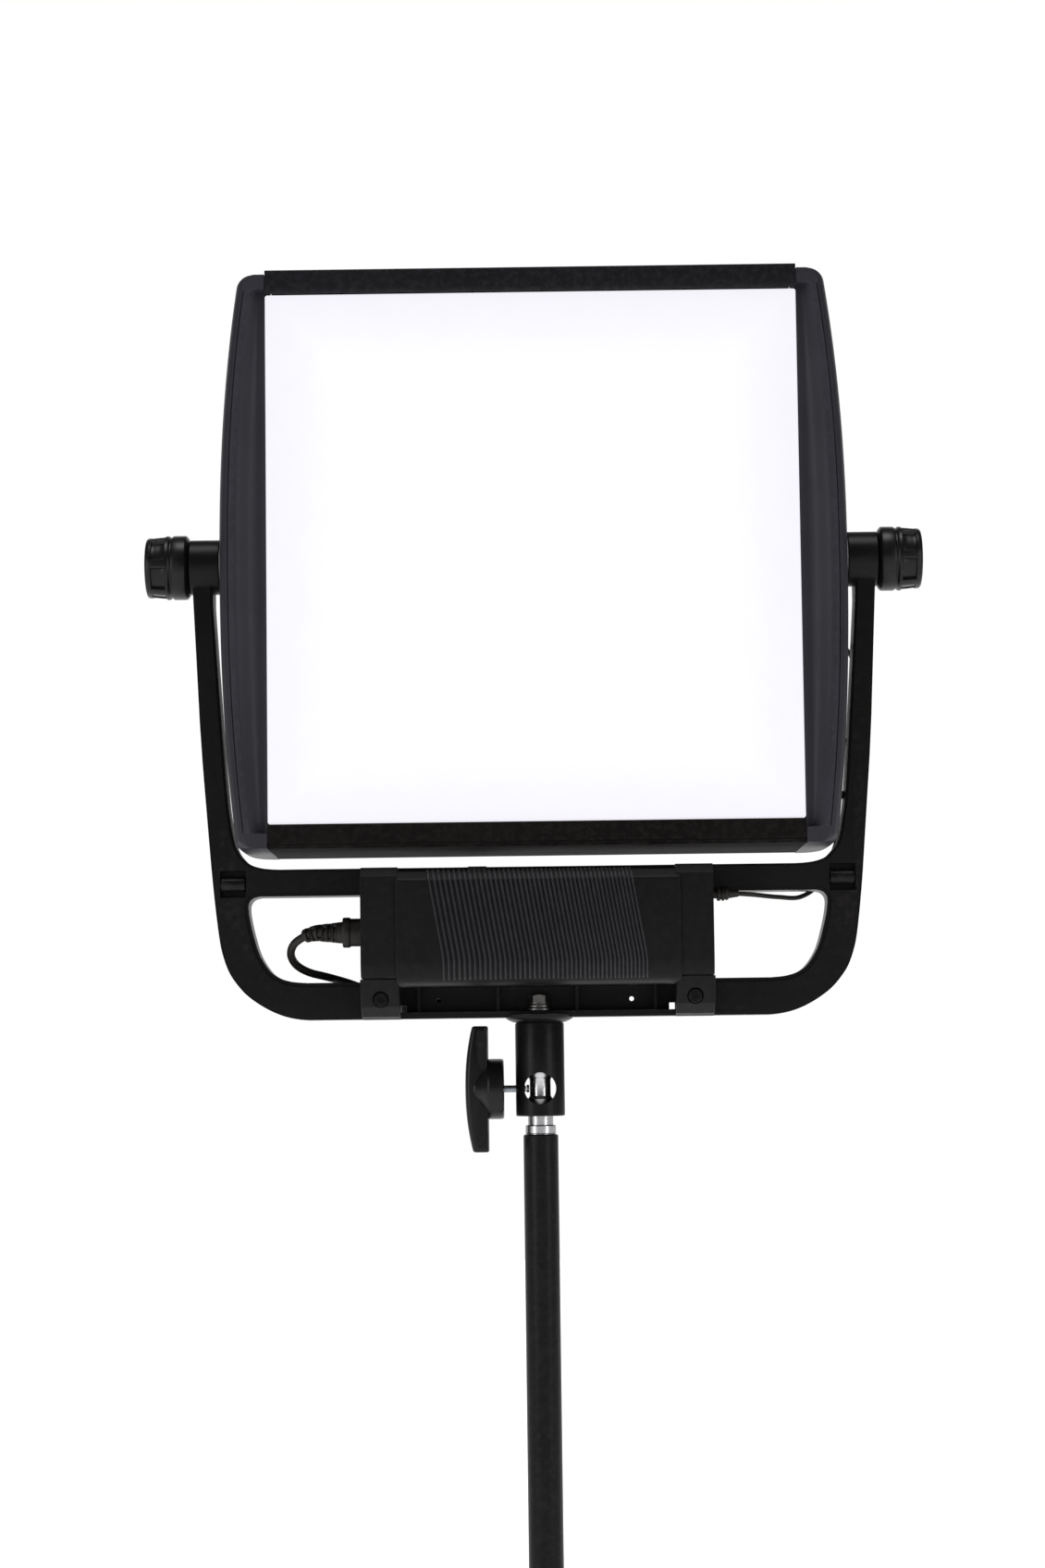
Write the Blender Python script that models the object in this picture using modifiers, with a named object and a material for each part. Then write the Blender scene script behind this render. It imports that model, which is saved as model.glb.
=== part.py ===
"""Studio panel light on a stand riser: one object per physical piece, in metres, Z up.

The front of the lamp faces -Y. The origin is the lower end of the stand's riser.
Dimensions below are millimetres and every mesh is scaled by MM when it is made.
"""
import math

import bmesh
import bpy
from mathutils import Matrix, Vector

MM = 0.001
GAP = 0.3

# Stand riser and stud
RISER_R = 11.0
RISER_WALL = 1.6
RISER_TOP = 299.5
STUD_R = 8.0
NECK_R = 6.6
COLLAR_R = 9.7

# Receiver and its clamp
CLAMP_Z = 328.3
RECEIVER_R = 15.45
RECEIVER_LOW = 311.0
RECEIVER_TOP = 369.7
SCREW_R = 2.5

# Yoke casting
YOKE_FRONT = -12.0
YOKE_RIM = -9.0
YOKE_BACK = 12.0
BAR_LOW = 373.0
BAR_TOP = 396.3
CROSS_LOW = 451.2
CROSS_TOP = 468.2
BOSS_R = 17.5
BOSS_IN = 200.2
BOSS_OUT = 219.8

# Panel head
TILT_Z = 663.1
HEAD_MID = 661.4
HEAD_HALF = 182.7
HEAD_HALF_W = 198.5
HEAD_BOW = 10.4
BOW_POWER = 2.3
FRONT = -50.0
BACK = 52.5
LIGHT_X = 167.4
LIGHT_LOW = 493.7
LIGHT_TOP = 829.0
SCOOP_END = 10.5
AXLE_R = 6.0

# Power supply
PSU_FRONT = -57.0
PSU_BACK = -16.0
PSU_X = 88.4
BRACKET_OUT = 111.9
MAINS_Y = -26.0
MAINS_Z = 427.0
DC_Y = -24.0
DC_Z = 448.5

# Cords
MAINS_D = 5.2
DC_D = 3.0
COIL_X = -38.0
COIL_Y = 26.6
COIL_Z = 425.5
COIL_R = 31.0

CLIP_Y = 14.9
PLUG_X = -93.4
PLUG_Y = 38.0
PLUG_LOW = 393.0
PLUG_TOP = 428.0
PIN_LENGTH = 18.0

MAINS_PATH = [
    (-135.3, -26.0, 427.0), (-138.2, -26.0, 427.0), (-145.8, -23.8, 425.3), (-153.5, -17.6, 420.7),
    (-156.3, -9.2, 414.4), (-153.5, -0.8, 408.1), (-145.8, 5.6, 403.5), (-134.6, 11.6, 400.6),
    (-121.5, 19.6, 396.8), (-101.0, 24.8, 389.4), (-74.0, 25.6, 384.4), (-46.0, 25.6, 383.4),
]
TAIL_PATH = [
    (-44.6, 27.0, 466.8), (-48.4, 27.0, 466.8), (-58.0, 28.6, 465.6), (-70.0, 32.4, 461.4),
    (-81.6, 36.2, 453.4), (-89.8, 38.0, 443.6), (-93.0, 38.0, 434.0), (PLUG_X, PLUG_Y, 431.0),
    (PLUG_X, PLUG_Y, PLUG_TOP + GAP),
]
DC_PATH = [
    (120.4, -24.0, 448.5), (124.0, -24.0, 448.5), (136.0, -20.8, 447.8), (152.0, -5.4, 447.0),
    (168.0, 12.0, 448.0), (181.4, 19.4, 458.4), (192.0, 16.4, 484.0), (198.6, CLIP_Y, 513.0),
    (203.8, CLIP_Y, 547.0), (207.2, 18.6, 578.0), (206.4, 33.6, 602.0), (200.6, 55.0, 614.4),
    (187.6, 78.4, 615.6), (167.2, 93.0, 608.4), (153.6, 92.0, 601.6), (150.0, 84.0, 600.0),
    (150.0, 80.2, 600.0),
]


# ---------------------------------------------------------------- scene set-up
def clear_scene():
    for obj in list(bpy.data.objects):
        bpy.data.objects.remove(obj, do_unlink=True)


def make_collection(name):
    group = bpy.data.collections.new(name)
    bpy.context.scene.collection.children.link(group)
    return group


clear_scene()
LAMP = make_collection("studio_panel_light")
CUTTERS = make_collection("cutters")


def make_material(name, colour, roughness, metallic):
    mat = bpy.data.materials.new(name)
    mat.use_nodes = True
    shader = mat.node_tree.nodes["Principled BSDF"]
    shader.inputs["Base Color"].default_value = (colour[0], colour[1], colour[2], 1.0)
    shader.inputs["Roughness"].default_value = roughness
    shader.inputs["Metallic"].default_value = metallic
    mat.diffuse_color = (colour[0], colour[1], colour[2], 1.0)
    return mat


CAST = make_material("painted_cast_aluminium", (0.012, 0.011, 0.011), 0.5, 0.0)
SHELL = make_material("black_abs_shell", (0.024, 0.024, 0.029), 0.45, 0.0)
RAIL = make_material("black_anodised_rail", (0.018, 0.017, 0.019), 0.4, 0.3)
KNOB = make_material("black_nylon", (0.010, 0.010, 0.011), 0.42, 0.0)
TUBE = make_material("black_painted_tube", (0.014, 0.013, 0.014), 0.35, 0.0)
CHROME = make_material("plated_steel", (0.62, 0.62, 0.63), 0.25, 1.0)
ZINC = make_material("zinc_plated_steel", (0.42, 0.46, 0.50), 0.4, 1.0)
BRASS = make_material("brass", (0.60, 0.42, 0.16), 0.35, 1.0)
OPAL = make_material("opal_acrylic", (0.93, 0.93, 0.96), 0.4, 0.0)
WHITE = make_material("white_painted_tray", (0.85, 0.85, 0.85), 0.6, 0.0)
BOARD = make_material("circuit_board", (0.03, 0.16, 0.07), 0.5, 0.0)
ALLOY = make_material("bare_aluminium", (0.60, 0.60, 0.62), 0.4, 1.0)
CORE = make_material("ferrite_and_copper", (0.12, 0.10, 0.09), 0.6, 0.0)
GLASS = make_material("display_glass", (0.02, 0.03, 0.04), 0.15, 0.0)
PVC = make_material("black_pvc", (0.016, 0.015, 0.014), 0.5, 0.0)
STRAP = make_material("black_strap", (0.02, 0.02, 0.02), 0.8, 0.0)


# ---------------------------------------------------------------- shape helpers
def add_object(name, work, mat, group):
    """Turn a bmesh in millimetres into an object in metres."""
    bmesh.ops.scale(work, vec=(MM, MM, MM), verts=work.verts)
    mesh = bpy.data.meshes.new(name)
    work.to_mesh(mesh)
    work.free()
    obj = bpy.data.objects.new(name, mesh)
    group.objects.link(obj)
    if mat is not None:
        mesh.materials.append(mat)
    if group is CUTTERS:
        obj.hide_render = True
        obj.display_type = "WIRE"
    return obj


def along(axis, u, v, t):
    """A point with (u, v) in the plane across the axis and t along it."""
    if axis == "X":
        return (t, u, v)
    if axis == "Y":
        return (u, t, v)
    return (u, v, t)


def turn_to(axis):
    """The rotation that carries the Z axis onto the named axis."""
    if axis == "X":
        return Matrix.Rotation(math.radians(90), 4, "Y")
    if axis == "Y":
        return Matrix.Rotation(math.radians(-90), 4, "X")
    return Matrix.Identity(4)


def prism(name, outline, axis, low, high, mat, group=LAMP):
    """A flat outline pushed along an axis."""
    work = bmesh.new()
    corners = [work.verts.new(along(axis, u, v, low)) for u, v in outline]
    face = work.faces.new(corners)
    grown = bmesh.ops.extrude_face_region(work, geom=[face])
    moved = [g for g in grown["geom"] if isinstance(g, bmesh.types.BMVert)]
    bmesh.ops.translate(work, vec=along(axis, 0, 0, high - low), verts=moved)
    bmesh.ops.recalc_face_normals(work, faces=work.faces)
    return add_object(name, work, mat, group)


def box(name, low, high, mat, group=LAMP):
    work = bmesh.new()
    bmesh.ops.create_cube(work, size=1.0)
    span = [high[i] - low[i] for i in range(3)]
    middle = [(high[i] + low[i]) / 2.0 for i in range(3)]
    bmesh.ops.scale(work, vec=span, verts=work.verts)
    bmesh.ops.translate(work, vec=middle, verts=work.verts)
    return add_object(name, work, mat, group)


def rod(name, radius, axis, centre, low, high, mat, steps=24, group=LAMP):
    work = bmesh.new()
    bmesh.ops.create_cone(
        work, cap_ends=True, segments=steps, radius1=radius, radius2=radius, depth=high - low
    )
    bmesh.ops.transform(work, matrix=turn_to(axis), verts=work.verts)
    middle = along(axis, centre[0], centre[1], (low + high) / 2.0)
    bmesh.ops.translate(work, vec=middle, verts=work.verts)
    return add_object(name, work, mat, group)


def turned(name, profile, axis, centre, mat, steps=32, group=LAMP):
    """A turned solid: a profile of (radius, place along the axis) with a Screw modifier.

    A profile that starts and ends on the axis closes itself; any other is joined end to end.
    """
    work = bmesh.new()
    corners = [work.verts.new((radius, 0.0, t)) for radius, t in profile]
    for a, b in zip(corners, corners[1:]):
        work.edges.new((a, b))
    if profile[0][0] > 0 or profile[-1][0] > 0:
        work.edges.new((corners[-1], corners[0]))
    area = sum(
        profile[i - 1][0] * profile[i][1] - profile[i][0] * profile[i - 1][1]
        for i in range(len(profile))
    )
    obj = add_object(name, work, mat, group)
    screw = obj.modifiers.new("turn", "SCREW")
    screw.axis = "Z"
    screw.steps = steps
    screw.render_steps = steps
    screw.use_merge_vertices = True
    screw.merge_threshold = 0.00001
    screw.use_normal_flip = area > 0
    screw.use_smooth_shade = True
    place = Vector(along(axis, centre[0], centre[1], 0)) * MM
    obj.matrix_world = Matrix.Translation(place) @ turn_to(axis)
    return obj


def loft(name, sections, mat):
    """A closed skin over unlike sections that all have the same count of points."""
    work = bmesh.new()
    rings = [[work.verts.new(p) for p in ring] for ring in sections]
    count = len(sections[0])
    work.faces.new(rings[0])
    work.faces.new(rings[-1])
    for lower, upper in zip(rings, rings[1:]):
        for k in range(count):
            n = (k + 1) % count
            work.faces.new((lower[k], lower[n], upper[n]))
            work.faces.new((lower[k], upper[n], upper[k]))
    bmesh.ops.recalc_face_normals(work, faces=work.faces)
    return add_object(name, work, mat, LAMP)


def combine(obj, other, operation="DIFFERENCE"):
    """Cut the second object out of the first, or join it on."""
    if other.name not in CUTTERS.objects:
        LAMP.objects.unlink(other)
        CUTTERS.objects.link(other)
        other.hide_render = True
        other.display_type = "WIRE"
    mod = obj.modifiers.new(operation.lower(), "BOOLEAN")
    mod.object = other
    mod.operation = operation
    mod.solver = "EXACT"


def cut_box(obj, low, high):
    combine(obj, box(obj.name + "_cut", low, high, None, CUTTERS))


def cut_rod(obj, radius, axis, centre, low, high, steps=24):
    combine(obj, rod(obj.name + "_bore", radius, axis, centre, low, high, None, steps, CUTTERS))


def bevel(obj, width, segments=2, angle=35.0):
    mod = obj.modifiers.new("bevel", "BEVEL")
    mod.width = width * MM
    mod.segments = segments
    mod.limit_method = "ANGLE"
    mod.angle_limit = math.radians(angle)
    mod.harden_normals = False


def smooth(obj, angle=40.0):
    obj.data.shade_smooth()
    obj.data.set_sharp_from_angle(angle=math.radians(angle))


def set_origin(obj, point):
    """Put the object's origin on its joint axis without moving its mesh."""
    old = obj.matrix_basis.copy()
    new = old.copy()
    new.translation = Vector(point) * MM
    obj.data.transform(new.inverted() @ old)
    obj.matrix_basis = new


def hang(obj, parent):
    obj.parent = parent
    obj.matrix_parent_inverse = Matrix.Translation(-parent.location)


def smooth_route(points, step):
    """Points at about one step apart on a smooth curve through the given points."""
    ends = [2 * Vector(points[0]) - Vector(points[1])]
    knots = ends + [Vector(p) for p in points] + [2 * Vector(points[-1]) - Vector(points[-2])]
    route = [knots[1]]
    for i in range(1, len(knots) - 2):
        before, a, b, after = knots[i - 1:i + 3]
        count = max(1, round((b - a).length / step))
        for k in range(1, count + 1):
            t = k / count
            bend = 2 * before - 5 * a + 4 * b - after
            twist = 3 * a - before - 3 * b + after
            route.append(0.5 * (2 * a + (b - before) * t + bend * t * t + twist * t * t * t))
    return route


def tube_along(name, path, diameter, mat):
    """A cord: a round tube with filled ends along a smooth route."""
    route = smooth_route(path, 2.4 * diameter)
    curve = bpy.data.curves.new(name, "CURVE")
    curve.dimensions = "3D"
    curve.bevel_depth = diameter / 2.0 * MM
    curve.bevel_resolution = 2
    curve.use_fill_caps = True
    spline = curve.splines.new("POLY")
    spline.points.add(len(route) - 1)
    for point, place in zip(spline.points, route):
        point.co = (place[0] * MM, place[1] * MM, place[2] * MM, 1.0)
    obj = bpy.data.objects.new(name, curve)
    LAMP.objects.link(obj)
    curve.materials.append(mat)
    return obj


def arc(cx, cy, radius, start, end, count):
    points = []
    for k in range(count + 1):
        angle = math.radians(start + (end - start) * k / count)
        points.append((cx + radius * math.cos(angle), cy + radius * math.sin(angle)))
    return points


def inset(outline, distance):
    """Move each point of a closed anticlockwise outline inwards."""
    moved = []
    count = len(outline)
    for i in range(count):
        a = Vector(outline[i - 1])
        b = Vector(outline[i])
        c = Vector(outline[(i + 1) % count])
        n1 = Vector((a.y - b.y, b.x - a.x)).normalized()
        n2 = Vector((b.y - c.y, c.x - b.x)).normalized()
        mean = n1 + n2
        mean = mean / max(mean.length_squared / 2.0, 0.6)
        moved.append(tuple(b + mean * distance))
    return moved


def mirror_x(points):
    return [(-x, y) for x, y in reversed(points)]


# ---------------------------------------------------------------- stand riser
def build_riser():
    inner = RISER_R - RISER_WALL
    profile = [(RISER_R, RISER_TOP), (RISER_R, 0.0), (inner, 0.0), (inner, RISER_TOP)]
    smooth(turned("riser_tube", profile, "Z", (0, 0), TUBE, 36))
    bush = inner - GAP
    profile = [(0, 0), (bush, 0), (bush, 14.0), (bush - 2.0, 16.0), (0, 16.0)]
    smooth(turned("riser_end_plug", profile, "Z", (0, 0), KNOB, 32))


def build_stud():
    spigot = RISER_R - RISER_WALL - GAP
    profile = [
        (0, 262.0), (spigot - 1.0, 262.0), (spigot, 263.0), (spigot, RISER_TOP + GAP),
        (COLLAR_R, RISER_TOP + GAP), (COLLAR_R, 305.0), (COLLAR_R - 0.4, 305.4), (STUD_R, 305.4),
        (STUD_R, 321.8), (NECK_R, 323.4), (NECK_R, 334.6), (STUD_R, 336.2), (STUD_R, 342.6),
        (STUD_R - 1.2, 344.0), (0, 344.0),
    ]
    smooth(turned("stud", profile, "Z", (0, 0), CHROME, 28))


# ---------------------------------------------------------------- receiver and clamp
def build_receiver():
    bore = STUD_R + GAP
    profile = [
        (bore, RECEIVER_LOW), (RECEIVER_R - 0.5, RECEIVER_LOW), (RECEIVER_R, RECEIVER_LOW + 0.5),
        (RECEIVER_R, RECEIVER_TOP), (4.3, RECEIVER_TOP), (4.3, 354.0), (0, 352.0), (0, 348.0),
        (bore, 348.0),
    ]
    receiver = turned("receiver", profile, "Z", (0, 0), CAST, 36)
    cut_rod(receiver, 10.0, "Y", (0, CLAMP_Z), -20.0, 20.0, 24)
    cut_rod(receiver, SCREW_R + GAP, "X", (0, CLAMP_Z), -20.0, -4.0, 20)
    smooth(receiver)


def build_receiver_bolt():
    profile = [(0, 355.0), (3.4, 355.0), (4.0, 355.6), (4.0, 381.4), (0, 381.4)]
    bolt = turned("receiver_bolt", profile, "Z", (0, 0), ZINC, 24)
    hexagon = arc(0, 0, 7.5, 0, 300, 5)
    combine(bolt, prism("receiver_bolt_head", hexagon, "Z", 381.4 - 0.2, 387.4, ZINC), "UNION")
    for name, low in (("bolt_washer_lower", 377.3), ("bolt_washer_upper", 379.2)):
        radius = 8.4 if low < 378 else 7.6
        ring = [(radius, low), (radius, low + 1.6), (4.3, low + 1.6), (4.3, low)]
        smooth(turned(name, ring, "Z", (0, 0), ZINC, 32))


def build_clamp():
    pad = [(0, -8.7), (2.4, -8.7), (2.4, -7.2), (1.9, -6.9), (0, -6.9)]
    pad_obj = turned("clamp_pad", pad, "X", (0, CLAMP_Z), BRASS, 20)
    set_origin(pad_obj, (-8.0, 0, CLAMP_Z))
    screw = rod("clamp_screw", SCREW_R, "X", (0, CLAMP_Z), -30.0, -9.0, ZINC, 20)
    set_origin(screw, (-22.8, 0, CLAMP_Z))
    build_clamp_handle()


def build_clamp_handle():
    hub = [
        (0, -44.6), (9.0, -44.6), (15.0, -43.0), (19.0, -39.5), (19.0, -24.0), (18.2, -22.9),
        (SCREW_R + GAP, -22.9), (SCREW_R + GAP, -30.3), (0, -30.3),
    ]
    handle = turned("clamp_handle", hub, "X", (0, CLAMP_Z), KNOB, 32)
    half = [
        (-31.2, 0), (-31.4, 24), (-31.6, 38.0), (-32.6, 39.6), (-42.6, 39.8), (-43.6, 38.6),
        (-45.6, 28), (-47.2, 15), (-47.8, 0),
    ]
    outline = [(x, CLAMP_Z + z) for x, z in half]
    outline += [(x, CLAMP_Z - z) for x, z in reversed(half[1:-1])]
    arms = prism("clamp_handle_arms", outline, "Y", -8.5, 8.5, None, CUTTERS)
    combine(handle, arms, "UNION")
    cut_box(handle, (-33, -12, CLAMP_Z + 19.6), (-20, 12, CLAMP_Z + 45))
    cut_box(handle, (-33, -12, CLAMP_Z - 45), (-20, 12, CLAMP_Z - 19.6))
    smooth(handle)
    set_origin(handle, (-22.8, 0, CLAMP_Z))


# ---------------------------------------------------------------- yoke
def yoke_outer():
    """Outer edge of the casting from the middle of the foot up the right arm."""
    return [
        (0, BAR_LOW), (60, BAR_LOW), (120, BAR_LOW), (157.6, BAR_LOW), (168.5, 377.2),
        (177.5, 383.2), (184.4, 388.6), (190.3, 395.2), (195.4, 403.6), (199.3, 414.4),
        (201.5, 425.3), (204.0, 445.5), (206.3, 469.1), (209.0, 502.3), (212.6, 549.4),
        (216.5, 637.6), (217.0, 652.6),
    ]


def yoke_inner():
    """Inner edge of the right arm from the tilt axis down to the cross bar."""
    return [
        (203.2, 652.6), (203.3, 637.6), (197.9, 549.4), (195.2, 513.0), (193.6, 497.6),
        (191.8, 487.2), (189.6, 480.2), (185.6, 474.9), (181.2, 471.4), (175.4, 469.4),
        (169.0, 468.5), (163.0, CROSS_TOP), (90.0, CROSS_TOP), (0, CROSS_TOP),
    ]


def window_edge():
    """The long window between the two bars, right half, from the top middle."""
    return [
        (0, CROSS_LOW), (90.0, CROSS_LOW), (175.6, CROSS_LOW), (179.6, 450.2), (182.2, 447.6),
        (182.9, 443.6), (181.9, 436.0), (179.6, 426.0), (176.6, 416.0), (173.0, 409.0),
        (168.6, 403.2), (163.4, 399.6), (155.6, 397.2), (146.0, BAR_TOP), (90.0, BAR_TOP),
        (0, BAR_TOP),
    ]


def build_yoke():
    right = yoke_outer() + yoke_inner()
    outline = right[:-1] + [(0, CROSS_TOP)] + mirror_x(right[1:-1])
    yoke = prism("yoke", outline, "Y", YOKE_RIM, YOKE_BACK, CAST)
    raised = prism("yoke_face", inset(outline, 3.2), "Y", YOKE_FRONT, YOKE_RIM + 2, None, CUTTERS)
    combine(yoke, raised, "UNION")
    edge = window_edge()
    window = edge + mirror_x(edge[1:-1])
    combine(yoke, prism("yoke_window", window, "Y", -40, 40, None, CUTTERS))
    wide = inset(list(reversed(window)), -2.6)
    combine(yoke, prism("yoke_window_rim", wide, "Y", -40, YOKE_RIM, None, CUTTERS))
    for side in (-1, 1):
        low, high = sorted((side * BOSS_IN, side * BOSS_OUT))
        boss = rod("yoke_boss", BOSS_R, "X", (0, TILT_Z), low, high, None, 32, CUTTERS)
        combine(yoke, boss, "UNION")
        low, high = sorted((side * (BOSS_IN - 2), side * (BOSS_OUT + 2)))
        cut_rod(yoke, AXLE_R + GAP, "X", (0, TILT_Z), low, high, 28)
        low, high = sorted((side * 184.3, side * 200.8))
        cut_box(yoke, (low, -20, 450.6), (high, -2.2, 467.6))
    flare = [(0, 370.0), (15.6, 370.0), (19.4, 371.2), (21.6, 373.0), (21.6, 375.0), (0, 375.0)]
    combine(yoke, turned("yoke_flare", flare, "Z", (0, 0), None, 40, CUTTERS), "UNION")
    cells = ((-95, -77), (-75, -27), (-25, 23), (25, 72.5), (74.5, 95))
    for low, high in cells:
        cut_box(yoke, (low, -20, 377.0), (high, 8.6, 392.6))
    for x in (-64.0, 58.8):
        cut_rod(yoke, 1.5, "Y", (x, 384.4), 0, 20, 16)
    cut_rod(yoke, 4.3, "Z", (0, 0), 365, 380)


def build_yoke_pins():
    for side, name in ((-1, "arm_pin_left"), (1, "arm_pin_right")):
        low, high = sorted((side * 184.7, side * 200.4))
        smooth(rod(name, 4.6, "X", (-7.1, 459.1), low, high, CAST, 28))


# ---------------------------------------------------------------- power supply
def psu_section(grow, front=0.0):
    """Section across the supply in (y, z): flat face, bevelled top edge, round lower edge."""
    face = PSU_FRONT - grow + front
    top = 468.0 + grow
    low = 392.5 - grow
    points = [(PSU_BACK, low), (PSU_BACK, top), (face + 7.0, top), (face, top - 6.0)]
    points += [(face, low + 15.0)]
    points += [(face + 15.0 + u, low + 15.0 + v) for u, v in arc(0, 0, 15.0, 180, 270, 5)[1:]]
    return points


def build_psu():
    shell = prism("psu_housing", psu_section(0.0), "X", -PSU_X, PSU_X, SHELL)
    cavity = [(min(y, -17.9), z) for y, z in psu_section(-2.2)]
    combine(shell, prism("psu_cavity", cavity, "X", -PSU_X + 2.2, PSU_X - 2.2, None, CUTTERS))
    cut_box(shell, (-PSU_X + 2.2, -18.4, 394.7), (PSU_X - 2.2, -10, 465.8))
    box("psu_back_plate", (-PSU_X + 2.5, -17.9, 395.0), (PSU_X - 2.5, -16.1, 465.5), SHELL)
    box("psu_board", (-80, -21.8, 399.0), (80, -20.2, 462.0), BOARD)
    box("psu_transformer", (-30, -47.0, 414.0), (6, -22.1, 446.0), CORE)


def build_brackets():
    for side, word in ((-1, "left"), (1, "right")):
        low, high = sorted((side * (PSU_X + GAP), side * BRACKET_OUT))
        section = [
            (y if y < PSU_BACK else YOKE_FRONT - GAP, max(z, 397.2))
            for y, z in psu_section(0.5, 2.5)
        ]
        clean = [section[0]]
        for point in section[1:]:
            if (Vector(point) - Vector(clean[-1])).length > 0.4:
                clean.append(point)
        cap = prism("psu_bracket_" + word, clean, "X", low, high, SHELL)
        low, high = sorted((side * (PSU_X - 2), side * (BRACKET_OUT - 3.0)))
        cut_box(cap, (low, -50.0, 402.0), (high, -15.4, 463.0))
        if side < 0:
            cut_rod(cap, 9.1, "X", (MAINS_Y, MAINS_Z), -120, -100, 28)
        else:
            cut_rod(cap, 3.3, "X", (DC_Y, DC_Z), 100, 120, 20)
        low, high = sorted((side * (PSU_X + GAP), side * (BRACKET_OUT + 0.8)))
        foot = [
            (YOKE_FRONT - GAP, 372.4), (YOKE_FRONT - GAP, 396.9), (-47.6, 396.9), (-44.0, 389.0),
            (-37.0, 380.0), (-28.0, 374.0), (-22.0, 372.4),
        ]
        prism("bar_clamp_" + word, foot, "X", low, high, SHELL)
        clamp = bpy.data.objects["bar_clamp_" + word]
        centre = (side * 100.3, 384.6)
        place_screw("clamp_bolt_" + word, centre)
        cut_rod(clamp, 2.8, "Y", centre, -60, 0, 20)
        cut_rod(clamp, 5.0, "Y", centre, -60, -30, 20)
        cut_rod(bpy.data.objects["yoke"], 2.8, "Y", centre, -20, 20, 20)


def place_screw(name, centre):
    """A cap screw through the bar clamp into the foot of the yoke."""
    profile = [
        (0, -33.8), (3.9, -33.8), (4.4, -33.2), (4.4, -30.3), (2.5, -30.3), (2.5, 10.4), (0, 10.4),
    ]
    smooth(turned(name, profile, "Y", centre, ZINC, 20))


def build_mains_inlet():
    block = rod("mains_inlet", 8.9, "X", (MAINS_Y, MAINS_Z), -103.6, -91.0, KNOB, 24)
    smooth(block)
    body = [
        (0, -103.9), (8.0, -103.9), (8.75, -104.6), (8.75, -117.7), (9.5, -117.9), (9.5, -121.9),
        (8.9, -122.4), (6.8, -122.5), (6.2, -129.0), (5.8, -135.0), (0, -135.0),
    ]
    smooth(turned("mains_connector", body, "X", (MAINS_Y, MAINS_Z), PVC, 28))


def build_dc_gland():
    body = [
        (0, 106.0), (3.0, 106.0), (3.0, 112.2), (4.5, 112.4), (4.5, 114.4), (3.7, 114.5),
        (3.7, 115.3), (4.5, 115.4), (4.5, 116.8), (3.7, 116.9), (3.7, 117.7), (4.3, 117.8),
        (4.0, 119.2), (3.0, 120.0), (0, 120.0),
    ]
    smooth(turned("dc_gland", body, "X", (DC_Y, DC_Z), PVC, 24))


# ---------------------------------------------------------------- panel head
def head_half_width(z):
    """Half width of the head at a height: bowed sides with rounded corners."""
    rise = abs(z - HEAD_MID) / HEAD_HALF
    width = HEAD_HALF_W - HEAD_BOW * rise ** BOW_POWER
    near = min(HEAD_MID + HEAD_HALF - 2.6 - z, z - HEAD_MID + HEAD_HALF)
    if near < 7.0:
        depth = max(7.0 - near, 0.0)
        width -= 7.0 - math.sqrt(max(49.0 - depth * depth, 0.0))
    return width


def shell_section(z, side, closed, scoop):
    """Ring of points of a side shell at one height: outer skin, then the inner skin back."""
    w = head_half_width(z)
    edge = LIGHT_X + GAP
    crest = max(w - 10.5, edge + 2.0)
    run = crest - edge
    dip = 8.0 * scoop
    outer = [
        (edge, FRONT + dip), (edge + run * 0.25, FRONT + dip * 1.02),
        (edge + run * 0.55, FRONT + dip * 0.74), (edge + run * 0.85, FRONT + dip * 0.22),
        (crest + 1.0, FRONT - 0.3 * scoop),
        (w - 6.5, FRONT + 0.4), (w - 3.6, FRONT + 3.2), (w - 1.6, FRONT + 9.0), (w - 0.4, FRONT + 17.0),
        (w, FRONT + 28.0), (w, 12.0), (w - 0.6, 30.0), (w - 2.4, 42.0), (w - 6.0, 49.4),
        (max(w - 11.0, edge + 1.5), BACK), (edge, BACK),
    ]
    if closed:
        ys = [BACK - 3.0, 44.0, 36.0, 27.0, 12.0, -10.0, -24.0, -32.0, -36.0, -38.0, -39.0, -40.0]
        inner = [(edge, y) for y in ys[:-1]] + [(edge, FRONT + dip + 3.0)]
    else:
        inner = [
            (edge, BACK - 3.0), (w - 12.0, BACK - 3.0), (w - 8.4, 47.0), (w - 5.4, 41.0),
            (w - 3.6, 29.0), (w - 3.0, 11.0), (w - 3.0, FRONT + 28.0), (w - 3.6, FRONT + 18.0),
            (w - 5.6, FRONT + 9.0), (w - 9.6, FRONT + 5.6),
            (crest - run * 0.3, FRONT + dip * 0.74 + 3.2), (edge, FRONT + dip + 3.0),
        ]
    return [(side * x, y, z) for x, y in outer + inner]


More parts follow.
